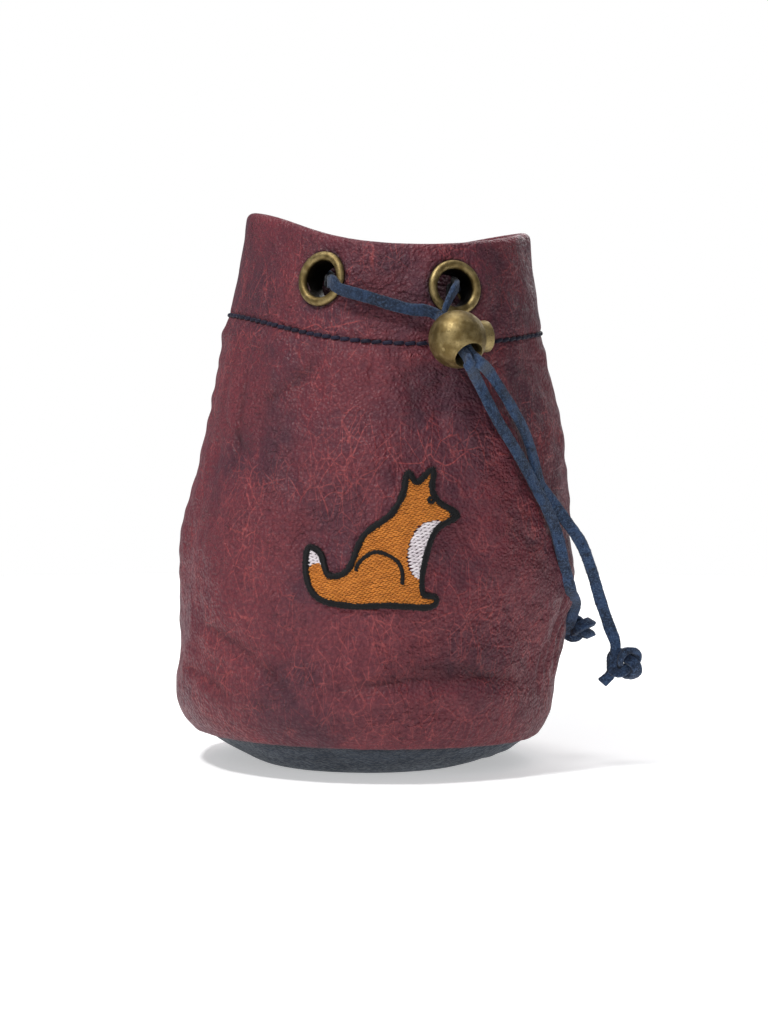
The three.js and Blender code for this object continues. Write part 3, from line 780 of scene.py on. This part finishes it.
# ---- the base --------------------------------------------------------------------------------
def base_leather():
    """A shallow bowl of navy leather, turned up inside the wall."""
    t = np.linspace(0, 1, 26)[:, None]
    belly = np.array([(BASE_FLAT_R + BASE_EDGE_R) / 2, BASE_BELLY_Z])
    outside = (1 - t) ** 2 * [BASE_FLAT_R, 0] + 2 * t * (1 - t) * belly + t * t * [BASE_EDGE_R, SEAM_Z]
    flat = np.stack([np.linspace(0, BASE_FLAT_R, 24)[:-1], np.zeros(23)], 1)
    stand = [BASE_EDGE_R, SEAM_Z] + np.array([[0, 3], [0, 5.8], [-0.3, 6]])
    under = np.vstack([flat, outside, stand])
    inward = np.gradient(under, axis=0)
    inward = unit(np.stack([-inward[:, 1], inward[:, 0]], 1))
    upper = (under + inward * BASE_LEATHER)[::-1]
    upper[:, 0] = np.clip(upper[:, 0], 0, BASE_EDGE_R - BASE_LEATHER)
    upper[-1, 0] = 0
    upper[:2, 1] = SEAM_Z + 6
    outline = np.vstack([under, upper])
    segments = 240
    angle = np.linspace(0, 2 * math.pi, segments, endpoint=False)
    r, z = outline[1:-1, 0][:, None], outline[1:-1, 1][:, None]
    share = smooth(r, BASE_FLAT_R, BASE_EDGE_R - 3)
    height = z + (seam_z(angle) - SEAM_Z) * share
    x, y = r * np.sin(angle), -r * np.cos(angle)
    points = np.stack([x, y, height], -1)
    soft = waves(points, 22, 11) * 0.35 + waves(points, 6, 12) * 0.08
    soft = soft * smooth(r, BASE_FLAT_R - 2, BASE_FLAT_R + 6) * (1 - smooth(z, SEAM_Z, SEAM_Z + 3))
    points[..., 2] += np.maximum(soft, -0.3 * share)
    flatten = np.vstack([points.reshape(-1, 3), [0, 0, 0], [0, 0, BASE_LEATHER]])
    faces = rings(len(outline) - 2, segments)
    radius = np.linalg.norm(flatten[:, :2], axis=1)
    # Painted shade on the part turned up inside the wall; a worn ring on the belly.
    masks = {"wear_and_highlight": 0.35 * bell(radius, BASE_FLAT_R + 3, 4), "shade": 0.8 * smooth(flatten[:, 2], 6, 9)}
    obj = mesh_object("base_leather", flatten, faces, NAVY, masks)
    outwards(obj)
    attach(obj, "navy_leather", "base_panel", body="bag")


base_leather()


# ---- stitches --------------------------------------------------------------------------------
def oval(width, height, count=8):
    a = np.linspace(0, 2 * math.pi, count, endpoint=False)
    return np.stack([width / 2 * np.cos(a), height / 2 * np.sin(a)], 1)


def stitch_group(name, node, stitches, section, material=THREAD, slot="sewing_thread", **carrier):
    """One mesh of many short threads, each a path with side directions, put on its carrier."""
    parts, tone = [], []
    for path, sides in stitches:
        taper = np.ones(len(path))
        taper[[0, -1]] = 0.45
        part = sweep(path, sides, section, taper)
        parts.append(part)
        tone.append(np.full(len(part[0]), rng.random()))
    points, faces = join(parts)
    obj = mesh_object(name, points, faces, material, {"tone": np.concatenate(tone)})
    outwards(obj)
    attach(obj, slot, node, **carrier)


def hem_stitch(phi, pitch, inside):
    """One lockstitch on the hem line: it dips into a hole at both ends and slants a little."""
    half = pitch * 0.47
    t = np.linspace(-1, 1, 9)
    dip = 0.95 * np.abs(t) ** 5
    slant = 0.0016 * t
    at = phi + t * half
    v = STITCH_V + slant
    if inside:
        p = wall(at, v, HEM - 0.1) - (0.22 - dip)[:, None] * wall_normal(at, v)
    else:
        p = skin(at, v) + (0.34 - dip)[:, None] * wall_normal(at, v)
    return p, np.tile(UP, (len(t), 1))


def hem_stitches():
    count = 94
    pitch = 2 * math.pi / count
    for stretch in STRETCHES:
        a, b = span(stretch)
        centres = [i * pitch for i in range(-count, count) if a <= i * pitch < b]
        for side in ("needle", "bobbin"):
            stitches = [hem_stitch(phi, pitch, side == "bobbin") for phi in centres]
            stitch_group(f"hem_{side}_{stretch[0]}", f"hem_{side}_thread", stitches, oval(0.95, 0.72),
                         blend=bending(stretch))


hem_stitches()


def ring_stitches(name, node, count, inset, v):
    """Stitches of a seam round the inside, riding on the bag."""
    pitch = 2 * math.pi / count
    stitches = []
    for i in range(count):
        t = np.linspace(-1, 1, 7)
        at = i * pitch + t * pitch * 0.46
        p = wall(at, v, inset - 0.8 * np.abs(t) ** 4)
        stitches.append((p, np.tile(UP, (len(t), 1))))
    stitch_group(name, node, stitches, oval(0.8, 0.8), body="bag")


ring_stitches("base_stitches", "base_seam_thread", 96, 8.3, 0.035)


def back_stitches():
    """The wall's back seam: a row of stitches down the inside."""
    stitches = []
    count = 29
    v = np.linspace(0.13, STITCH_V - 0.06, count + 1)
    for low, high in zip(v[:-1], v[1:]):
        t = np.linspace(-1, 1, 7)
        at = (low + high) / 2 + t * (high - low) * 0.46
        phi = np.full(len(t), math.pi)
        out = 0.75 * relief(phi, at)
        p = wall(phi, at, LEATHER + 0.35 - 0.75 * np.abs(t) ** 4 - out)
        stitches.append((p, np.tile([1.0, 0.0, 0.0], (len(t), 1))))
    stitch_group("back_stitches", "back_seam_thread", stitches, oval(0.85, 0.7), blend=bending(BACK))


back_stitches()


# ---- embroidery ------------------------------------------------------------------------------
MOTIF_X, MOTIF_Z = 5.4, 61.5
OUTLINE = [
    (16.5, 5.2), (12, 8.6), (10.4, 11.4), (10.6, 16.6), (6.6, 13.2), (4.6, 15.9), (3.4, 10.6),
    (0.6, 5.6), (-6, 0.4), (-10.4, -8.4), (-14.6, -9.4), (-17.4, -3.6), (-20, -2.4), (-20.4, -9),
    (-17.6, -14.6), (-10, -16.6), (0, -16.4), (11, -16.6), (11.4, -14.8), (8.2, -13.8), (9, -4), (11.6, 2),
]
CHEST = [(13, 3.4), (8.4, 3.4), (5.2, -0.6), (4.4, -5), (6, -9.6), (9.8, -9.6), (10.4, -3)]
TAIL_TIP = [(-14, -6.2), (-15, -1), (-23, -1), (-23, -8.6), (-18.5, -6.6)]


def on_motif(flat, height):
    """Points of the flat motif, laid on the leather at a height above it."""
    x = MOTIF_X + flat[:, 0]
    z = MOTIF_Z + flat[:, 1]
    phi = np.arcsin(np.clip((x - 3) / 50, -1, 1))
    for _ in range(6):
        v = (z - seam_z(phi)) / (rim_z(phi) - seam_z(phi))
        radius, lean = profile(v)
        phi = np.arcsin(np.clip((x - lean) / radius, -1, 1))
    return skin(phi, v) + np.asarray(height)[:, None] * wall_normal(phi, v)


def closed_curve(points, spacing=0.3):
    """A closed smooth outline through the points, evenly spaced."""
    return catmull(points, spacing, closed=True)[:-1]


def inside_of(points, polygon):
    """Which points lie inside a polygon."""
    x, y = points[:, 0:1], points[:, 1:2]
    a, b = polygon, np.roll(polygon, -1, 0)
    crosses = (a[None, :, 1] > y) != (b[None, :, 1] > y)
    with np.errstate(divide="ignore", invalid="ignore"):
        at = (b[:, 0] - a[:, 0]) * (y - a[:, 1]) / (b[:, 1] - a[:, 1]) + a[:, 0]
    return (np.sum(crosses & (x < at), 1) % 2) == 1


def runs(values, mask):
    """The stretches of values over which mask holds."""
    edges = np.flatnonzero(np.diff(np.concatenate([[0], mask.astype(int), [0]])))
    return [(values[i], values[j - 1]) for i, j in zip(edges[::2], edges[1::2]) if j - i > 2]


def tatami(keep, angle, spacing=0.5, length=1.2):
    """Rows of short slanting stitches wherever keep(points) is true, staggered like bricks."""
    c, s = math.cos(angle), math.sin(angle)
    along = np.arange(-32, 32, 0.12)
    stitches = []
    for row, across in enumerate(np.arange(-26, 26, spacing)):
        line = np.stack([along * c - across * s, along * s + across * c], 1)
        for low, high in runs(along, keep(line)):
            cuts = np.arange(low - low % length - length + (row % 2) * length / 2, high, length)
            ends = np.clip(np.concatenate([cuts, [high]]), low, high)
            for a, b in zip(ends[:-1], ends[1:]):
                if b - a > 0.4:
                    t = np.linspace(a - 0.12, b + 0.12, 5)
                    lean = 0.2 if row % 2 else -0.2
                    off = across + np.linspace(-lean, lean, 5) + rng.normal(0, 0.03)
                    stitches.append(np.stack([t * c - off * s, t * s + off * c], 1))
    return stitches


def laid(stitches, crown, base):
    """Flat stitches laid on the leather, each rising to a low crown."""
    out = []
    for flat in stitches:
        t = np.linspace(-1, 1, len(flat))
        height = base + crown * (1 - np.abs(t) ** 3) + rng.normal(0, 0.012)
        p = on_motif(flat, height)
        azimuth = np.arctan2(p[:, 0] - 4, -p[:, 1])
        normal = np.stack([np.sin(azimuth), -np.cos(azimuth), np.zeros(len(p))], 1)
        out.append((p, unit(np.cross(normal, np.gradient(p, axis=0)))))
    return out


def satin(path, width, spacing=0.3):
    """Stitches straight across a line, close together."""
    centre = places(path, np.arange(0, lengths(path)[-1], spacing))
    tangent = unit(np.gradient(centre, axis=0))
    for _ in range(2):
        tangent = unit(np.roll(tangent, 1, 0) + tangent + np.roll(tangent, -1, 0))
    across = np.stack([-tangent[:, 1], tangent[:, 0]], 1)
    t = np.linspace(-1, 1, 6)[:, None]
    out = []
    for c, a, along in zip(centre, across, tangent):
        half = width / 2 * (1 + rng.normal(0, 0.09))
        out.append(c + a * t * half + along * t * 0.12)
    return out


def embroidery():
    outline = closed_curve(OUTLINE)
    chest = closed_curve(CHEST)
    tip = closed_curve(TAIL_TIP)
    inside = lambda p: inside_of(p, outline)
    body = lambda p: inside(p) & ~inside_of(p, chest) & ~inside_of(p, tip)
    patch = lambda shape: tatami(lambda p: inside(p) & inside_of(p, shape), 0.25, 0.42, 2.2)
    fill = tatami(body, 0.2)
    haunch = closed_curve([(-8, -8), (-3.5, -3.6), (2.2, -6.2), (3, -11.5), (0.2, -15.2)])[:62]
    eye = closed_curve([(9.6, 9.3), (10.9, 9.5), (10.6, 8.5), (9.7, 8.5)], 0.2)
    border = satin(np.vstack([outline, outline[:1]]), 1.7)
    border += satin(haunch, 1.0) + satin(eye, 0.8, 0.2)
    border += tatami(lambda p: (np.linalg.norm(p - [16.0, 5.2], axis=1) < 1.4), 0.9, 0.3, 2.6)
    groups = [
        ("fill", laid(fill, 0.26, 0.14), ORANGE, "orange_thread"),
        ("border", laid(border, 0.5, 0.24), BLACK, "black_thread"),
        ("chest", laid(patch(chest), 0.24, 0.14), WHITE, "white_thread"),
        ("tail_tip", laid(patch(tip), 0.24, 0.14), WHITE, "white_thread"),
    ]
    for name, stitches, material, slot in groups:
        width = 0.42 if name == "border" else 0.48
        stitch_group(f"embroidered_{name}", f"embroidery_{name}", stitches, oval(width, 0.36, 6), material,
                     slot, blend=bending(FRONT))


embroidery()


# ---- brass -----------------------------------------------------------------------------------
def rounded(points, radius=0.12, steps=3):
    """A closed outline with its corners rounded."""
    p = np.asarray(points, float)
    out = []
    for i, corner in enumerate(p):
        a, b = p[i - 1] - corner, p[(i + 1) % len(p)] - corner
        la, lb = np.linalg.norm(a), np.linalg.norm(b)
        r = min(radius, la * 0.45, lb * 0.45)
        start, end = corner + a / la * r, corner + b / lb * r
        for t in np.linspace(0, 1, steps):
            out.append((1 - t) ** 2 * start + 2 * t * (1 - t) * corner + t * t * end)
    return np.array(out)


def eyelet_outline():
    """A rolled flange, the barrel and the curl inside, as a closed outline."""
    crown = np.radians(np.linspace(0, 180, 17))
    roll = np.stack([5.86 + 1.14 * np.cos(crown), EYELET_FOOT + 1.3 * np.sin(crown) ** 0.85], 1)
    low = WASHER_TOP - 0.95
    curl = [5.78, low - 0.35], [5.7, low]
    inner = [[4.42, -1.5], [4.42, low - 0.2], [4.6, low - 0.62], [5.3, low - 0.72], *curl, [4.72, low]]
    under = EYELET_FOOT - 0.25
    return np.vstack([roll, inner, [[4.72, under], [6.7, under]]])


for name in EYELETS:
    body = f"mouth_{name}"
    # Each eyelet's barrel, below its flange, is painted in shade.
    ring = revolve(f"brass_eyelet_{name}", eyelet_outline(), EYE_CENTRE[name], EYE_AXIS[name], BRASS,
                   dark=(EYELET_FOOT - 0.2, EYELET_FOOT + 0.75))
    low = WASHER_TOP - 0.8
    disc = rounded([[4.8, low], [7.2, low], [7.2, WASHER_TOP], [4.8, WASHER_TOP]])
    washer = revolve(f"brass_washer_{name}", disc, EYE_CENTRE[name], EYE_AXIS[name], BRASS)
    attach(ring, "antique_brass", f"eyelet_{name}", body=body)
    attach(washer, "antique_brass", f"washer_{name}", body=body)


LOCK_R = 7.1
LOCK_CENTRE = np.array([22.1, -50, 109.8])
BORE = unit(np.array([0.43, -0.64, -0.64]))
PRESS = np.array([0.87, 0.485, 0.1])
PRESS = unit(PRESS - BORE * (PRESS @ BORE))
LACE_SIDE = np.cross(BORE, PRESS)
REST = 0.9  # how far the slot of the button is off the bore at rest
WELL_FLOOR = -5.3
SLOT_R = 3.1


def at_lock(along, out=0.0):
    return LOCK_CENTRE + BORE * along + PRESS * out


def cut(obj, *cutters):
    """Subtracts closed meshes from obj and deletes them."""
    for cutter in cutters:
        modifier = obj.modifiers.new("cut", "BOOLEAN")
        modifier.operation = "DIFFERENCE"
        modifier.solver = "EXACT"
        modifier.object = cutter
    bpy.context.view_layer.update()
    depsgraph = bpy.context.evaluated_depsgraph_get()
    mesh = bpy.data.meshes.new_from_object(obj.evaluated_get(depsgraph))
    obj.modifiers.clear()
    old = obj.data
    obj.data = mesh
    bpy.data.meshes.remove(old)
    for cutter in cutters:
        bpy.data.objects.remove(cutter)
    mark_sharp(obj, 35)


def mark_sharp(obj, degrees):
    """Keeps edges sharper than an angle crisp under smooth shading."""
    bm = bmesh.new()
    bm.from_mesh(obj.data)
    for edge in bm.edges:
        sharp = len(edge.link_faces) == 2 and edge.calc_face_angle(0) > math.radians(degrees)
        edge.smooth = not sharp
    bm.to_mesh(obj.data)
    bm.free()


def ball_lock():
    """A brass ball with a chamfered bore for the lace and a well for its button."""
    angle = np.radians(np.linspace(-90, 90, 97))
    ball = revolve("brass_lock_ball", np.stack([LOCK_R * np.cos(angle), LOCK_R * np.sin(angle)], 1),
                   LOCK_CENTRE, BORE, BRASS, 128)
    mouth = [[3.3, 5.3], [3.6, 5.95], [4.3, 6.6], [5.6, 9], [0, 9]]
    bore = [[r, -h] for r, h in mouth[::-1]] + mouth
    well = [[0, WELL_FLOOR], [4.2, WELL_FLOOR], [4.2, 5.2], [4.35, 5.6], [5.2, 6.6], [6, 9], [0, 9]]
    cut(ball,
        revolve("cutter_a", bore, LOCK_CENTRE, BORE, BRASS, 96),
        revolve("cutter_b", well, LOCK_CENTRE, PRESS, BRASS, 96))
    attach(ball, "antique_brass", "lock_body", body="cord_lock")
    foot = REST - SLOT_R - 1
    top = LOCK_R + 0.9
    dome = np.radians(np.linspace(0, 90, 12))
    crown = np.stack([3.9 * np.cos(dome) ** 0.6, top + 0.95 * np.sin(dome)], 1)
    outline = np.vstack([[[0, foot], [3.75, foot], [3.9, foot + 0.15]], crown])
    outline[-1, 0] = 0
    button = revolve("brass_lock_button", outline, LOCK_CENTRE, PRESS, BRASS, 96)
    hole = [[0, -9], [SLOT_R, -9], [SLOT_R, 9], [0, 9]]
    cut(button, revolve("cutter_c", hole, at_lock(0, REST), BORE, BRASS))
    attach(button, "antique_brass", "lock_plunger", body="lock_button")


def lock_spring():
    """A conical spring between the floor of the well and the button's foot, flattened by the button."""
    wire, turns, clear = 0.16, 2.5, 0.1
    floor = WELL_FLOOR + wire + clear
    foot = REST - SLOT_R - 1 - wire - clear
    t = np.linspace(0, 1, 100)[:, None]
    angle = 2 * math.pi * turns * t
    radius = 3.4 - 1.6 * t
    path = at_lock(0) + radius * (np.cos(angle) * BORE + np.sin(angle) * LACE_SIDE)
    path = path + (floor + (foot - floor) * t) * PRESS
    points, faces = sweep(path, np.repeat(PRESS[None], len(t), 0), oval(2 * wire, 2 * wire))
    spring = mesh_object("steel_spring", points, faces, STEEL)
    outwards(spring)
    attach(spring, "spring_steel", "lock_spring", body="cord_lock")
    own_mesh(spring)


ball_lock()
lock_spring()


# ---- the lace --------------------------------------------------------------------------------
def lace_section():
    """A flat strip with softened corners."""
    r = 0.42
    x, y = LACE_WIDTH / 2 - r, LACE_THICK / 2 - r
    out = []
    for x_sign, y_sign, start in ((1, 1, 0), (-1, 1, 90), (-1, -1, 180), (1, -1, 270)):
        for a in np.radians(np.linspace(start, start + 90, 4)):
            out.append((x_sign * x + r * math.cos(a), y_sign * y + r * math.sin(a)))
    return np.array(out)


def turning(count, *sides):
    """Side directions that turn evenly from one to the next along the path."""
    place = np.linspace(0, len(sides) - 1, count)
    i = np.minimum(place.astype(int), len(sides) - 2)
    s = np.asarray(sides, float)
    t = (place - i)[:, None]
    return s[i] * (1 - t) + s[i + 1] * t


def depth_shade(points):
    """Dark where the lace is inside an eyelet or inside the bag."""
    shade = np.zeros(len(points))
    for name in EYELETS:
        h, r = from_eyelet(points, name)
        shade = np.maximum(shade, (r < 6) * (1 - smooth(h, -0.6, 2.6)))
    return shade


def lace(name, nodes, points, sides, scale=None, shade=0.0, **carrier):
    """A strip of lace along the points, put on its carrier. sides and scale can be functions of the path."""
    path = catmull(points, 0.32)
    sides = sides(path) if callable(sides) else turning(len(path), *sides)
    size = (1 + 0.03 * waves(path, 7, 21) + 0.02 * waves(path, 2.3, 22))[:, None]
    if scale is not None:
        size = size * scale(path)
    p, faces = sweep(path, sides, lace_section(), size)
    p = p + 0.07 * waves(p, 1.0, 23)[:, None] * unit(rng.normal(size=p.shape))
    obj = mesh_object(name, p, faces, SUEDE, {"shade": np.clip(depth_shade(p) + shade, 0, 1)})
    outwards(obj)
    attach(obj, "suede_lace", *nodes, **carrier)


def in_eyelet(name, depth, lateral):
    axis = EYE_AXIS[name]
    side = unit(np.cross(UP, axis))
    return EYE_CENTRE[name] - axis * depth + side * lateral


def mouth_run(stretch, node, inside):
    """The lace between two eyelets, inside or outside the leather."""
    a, b = span(stretch)
    through = [(1.6, 0), (4.4, 0.5), (7.2, 2)] if inside else [(0.9, 0), (-1.3, 0.5), (-3, 2.4)]
    along = [(8, 9), (15, 7.4)] if inside else [(8.5, -3.4), (15, -2.4)]

    def end(eyelet, azimuth, sign):
        points = [in_eyelet(eyelet, depth, sign * lateral) for depth, lateral in through]
        return points + [wall(azimuth + sign * math.radians(turn), EYELET_V, inset) for turn, inset in along]

    stops = round(math.degrees(b - a) / 26)
    share = np.arange(1, stops) / stops
    v = EYELET_V - 0.025 * np.sin(math.pi * share)
    between = list(wall(a + (b - a) * share, v, HEM + 2 if inside else -1.6))
    points = end(stretch[1], a, 1) + between + end(stretch[2], b, -1)[::-1]
    lace(node.replace("lace", "suede"), [node], points, (UP, UP), blend=bending(stretch))


mouth_run(LEFT, "lace_inner_left", True)
mouth_run(BACK, "lace_outer_back", False)
mouth_run(RIGHT, "lace_inner_right", True)

# Where the lace enters the lock along its bore, and how far each strand is off the bore's axis.
ENTRY = -8.4
STRAND = {"a": -0.82, "b": 0.82}


def on_wall(azimuth, v, height):
    return wall(math.radians(azimuth), v, -height)


def into_lock(strand):
    return [at_lock(ENTRY - 1, STRAND[strand]), at_lock(ENTRY + 0.2, STRAND[strand])]


def front_runs():
    """The lace in front of the leather: from the left eyelet and from the right one into the lock."""
    low = np.array([0, 0, -1.1])
    points = [in_eyelet("front_left", 2.4, 1.4), in_eyelet("front_left", 0.4, 2.2) + low / 2,
              in_eyelet("front_left", -1.7, 3.4) + low, in_eyelet("front_left", -3, 5.2) + low]
    points += [on_wall(-18.5, 0.912, 3.2), on_wall(-7.5, 0.9, 2.4), on_wall(7, 0.88, 2.2)]
    points += [at_lock(ENTRY - 3, STRAND["a"] - 1.6)] + into_lock("a")
    # The front and exit runs carry extra painted shade all along.
    lace("suede_front_run", ["lace_front_run"], points, (UP, UP, LACE_SIDE), shade=0.4, blend=bending(FRONT))
    points = [in_eyelet("front_right", 4.5, 1.8) - 2 * low, in_eyelet("front_right", 0.9, 0.9) - low,
              in_eyelet("front_right", -1.6, 0), in_eyelet("front_right", -3, -1.3) + low, *into_lock("b")]
    lace("suede_exit_run", ["lace_exit_run"], points, (UP, LACE_SIDE), shade=0.3, body="mouth_front_right")


front_runs()

# Each end's way down the leather as (azimuth, v, height), its knot, and its swinging part.
TAIL = {
    "a": [(27.5, 0.73, 4.8), (33.5, 0.66, 3.8), (41.5, 0.585, 3.2), (51, 0.49, 3.2)],
    "b": [(31, 0.75, 5.4), (38.5, 0.69, 3.8), (46.5, 0.62, 2.4), (53, 0.52, 1.6)],
}
KNOT = {"a": np.array([54.4, 7.4, 33.4]), "b": np.array([65.5, -5.6, 25.6])}
LOWER = {
    "a": [on_wall(51.5, 0.486, 3.2), on_wall(58, 0.43, 2.5), on_wall(64, 0.36, 2), on_wall(72, 0.3, 2),
          on_wall(84, 0.265, 2.4)],
    "b": [on_wall(53.5, 0.5155, 1.6), on_wall(62, 0.455, 2.8)] + [
        np.array(p) for p in ((54.8, -19, 58.1), (58, -14, 50.6), (60.5, -10, 43), (63.3, -7, 35.3))],
}


def outward(azimuth):
    a = math.radians(azimuth)
    return np.array([math.sin(a), -math.cos(a), 0])


def overhand(centre, down, towards, size):
    """Points of an overhand knot that hangs along down and shows its loops to the direction towards."""
    down = unit(down)
    right = unit(np.cross(down, towards))
    front = np.cross(right, down)
    t = np.linspace(0.22, 2 * math.pi - 0.22, 26)
    ring = 2 + np.cos(3 * t)
    local = np.stack([ring * np.cos(2 * t) - 1.6, ring * np.sin(2 * t), 1.25 * np.sin(3 * t)], 1) * size
    return centre + local[:, :1] * right + local[:, 1:2] * down + local[:, 2:] * front, right, down, front


def lace_end(strand):
    """One end of the lace: through the lock, down the leather, then the swinging end with its knot."""
    out = STRAND[strand]
    draped = [on_wall(*p) for p in TAIL[strand]]
    side = unit(np.cross(outward(TAIL[strand][3][0]), draped[3] - draped[2]))
    held = [at_lock(along, out) for along in (ENTRY, -5, 0, 3)]
    slim = lambda path: 1 - 0.12 * smooth(np.linspace(0, 1, len(path)), 0.3, 0.5)[:, None]
    upper = [f"lace_end_{strand}_upper"]
    lace(f"suede_held_{strand}", upper, held, (LACE_SIDE, LACE_SIDE), slim, body="mouth_front_right")
    points = [at_lock(along, out) for along in (-4.5, 0, 3, 6.4)] + [at_lock(8.8, 1.7 * out)]
    points += draped + [LOWER[strand][0]]
    lace(f"suede_drape_{strand}", upper, points, (LACE_SIDE, LACE_SIDE, side, side, side),
         blend=("cord_lock", "mouth_front_right", at_lock(9), draped[2]))

    knot = KNOT[strand]
    lower = LOWER[strand]
    down = unit(knot - lower[-1]) + (0 if strand == "a" else np.array([-0.25, 0, 0]))
    loops, right, down, front = overhand(knot, down, np.array([0.0, -1.0, 0.1]), 1.3)
    lead = knot - down * 5.0 + right * 0.7 + front * 0.6
    end_of = knot + down * 3.2 + right * 1.4 - front * 0.9
    tip = end_of + down * 2.6 + right * (2.2 if strand == "b" else 0.3)
    facing = right * np.sign(right @ side)

    def sides(path):
        near = np.argmin(np.linalg.norm(path - lead, axis=1))
        return np.vstack([turning(near, side, facing, facing, facing), carried(path[near:], facing)])

    def fat(path):
        tight = 1 - smooth(np.linalg.norm(path - knot, axis=1), 4.0, 6.5)[:, None]
        return 1 + tight * [-0.12, 0.25]

    path = [*lower, lead, *loops, end_of, tip]
    loose = lower[0] + unit(lower[1] - lower[0]) * 9
    lace(f"suede_end_{strand}", [f"lace_end_{strand}_lower", f"lace_knot_{strand}"], path, sides, fat,
         blend=("mouth_front_right", f"lace_end_{strand}", lower[0], loose))


for strand in ("a", "b"):
    lace_end(strand)


# ---- stage -----------------------------------------------------------------------------------
def stage():
    """A wide pale floor, a pale room and soft lights."""
    corners, radius, height = 96, 620, -0.2
    turn = np.linspace(0, 2 * math.pi, corners, endpoint=False)
    rim = np.stack([radius * np.cos(turn), radius * np.sin(turn), np.full(corners, height)], 1)
    floor = mesh_object("floor", rim, [np.arange(corners)[None]], plain_material(), flat=True)
    world = bpy.data.worlds.new("studio")
    bpy.context.scene.world = world
    world.use_nodes = True
    nodes, links = world.node_tree.nodes, world.node_tree.links
    nodes.clear()
    seen, mix = nodes.new("ShaderNodeLightPath"), nodes.new("ShaderNodeMixShader")
    output = nodes.new("ShaderNodeOutputWorld")
    for socket, colour, strength in ((1, (0.92, 0.94, 1.0), 0.26), (2, (1, 1, 1), 1.0)):
        sky = nodes.new("ShaderNodeBackground")
        sky.inputs[0].default_value = (*colour, 1)
        sky.inputs[1].default_value = strength
        links.new(sky.outputs[0], mix.inputs[socket])
    links.new(seen.outputs["Is Camera Ray"], mix.inputs[0])
    links.new(mix.outputs[0], output.inputs[0])
    bpy.context.scene.view_settings.view_transform = "Standard"
    light("key", (-0.45, -0.42, 1.1), 0.14, 10.5)
    light("soft", (-0.3, -1.15, 0.45), 0.8, 3)
    light("top", (0.0, 0.25, 1.2), 0.5, 4)
    light("back", (0.3, 0.95, 0.6), 0.8, 4.5)


def plain_material():
    m = Nodes("pale_floor", None)
    m.set(Base_Color=(0.8, 0.8, 0.8, 1), Roughness=0.8, Emission_Color=(1, 1, 1, 1), Emission_Strength=0.42)
    return m.material


def light(name, place, size, power):
    lamp = bpy.data.lights.new(name, "AREA")
    lamp.shape = "DISK"
    lamp.size = size
    lamp.energy = power
    obj = bpy.data.objects.new(name, lamp)
    obj.location = place
    obj.rotation_euler = (Vector((0, 0, 0.07)) - Vector(place)).to_track_quat("-Z", "Y").to_euler()
    bpy.context.scene.collection.objects.link(obj)


def camera():
    data = bpy.data.cameras.new("camera")
    data.sensor_fit = "HORIZONTAL"
    data.lens = 115.2
    data.clip_end = 20
    obj = bpy.data.objects.new("camera", data)
    tilt, distance, aim_x, aim_z = math.radians(3), 0.65, 0.0042, 0.0662
    obj.location = (aim_x, -distance * math.cos(tilt), aim_z + distance * math.sin(tilt))
    obj.rotation_euler = (math.radians(90) - tilt, 0, 0)
    bpy.context.scene.collection.objects.link(obj)
    bpy.context.scene.camera = obj


stage()
camera()
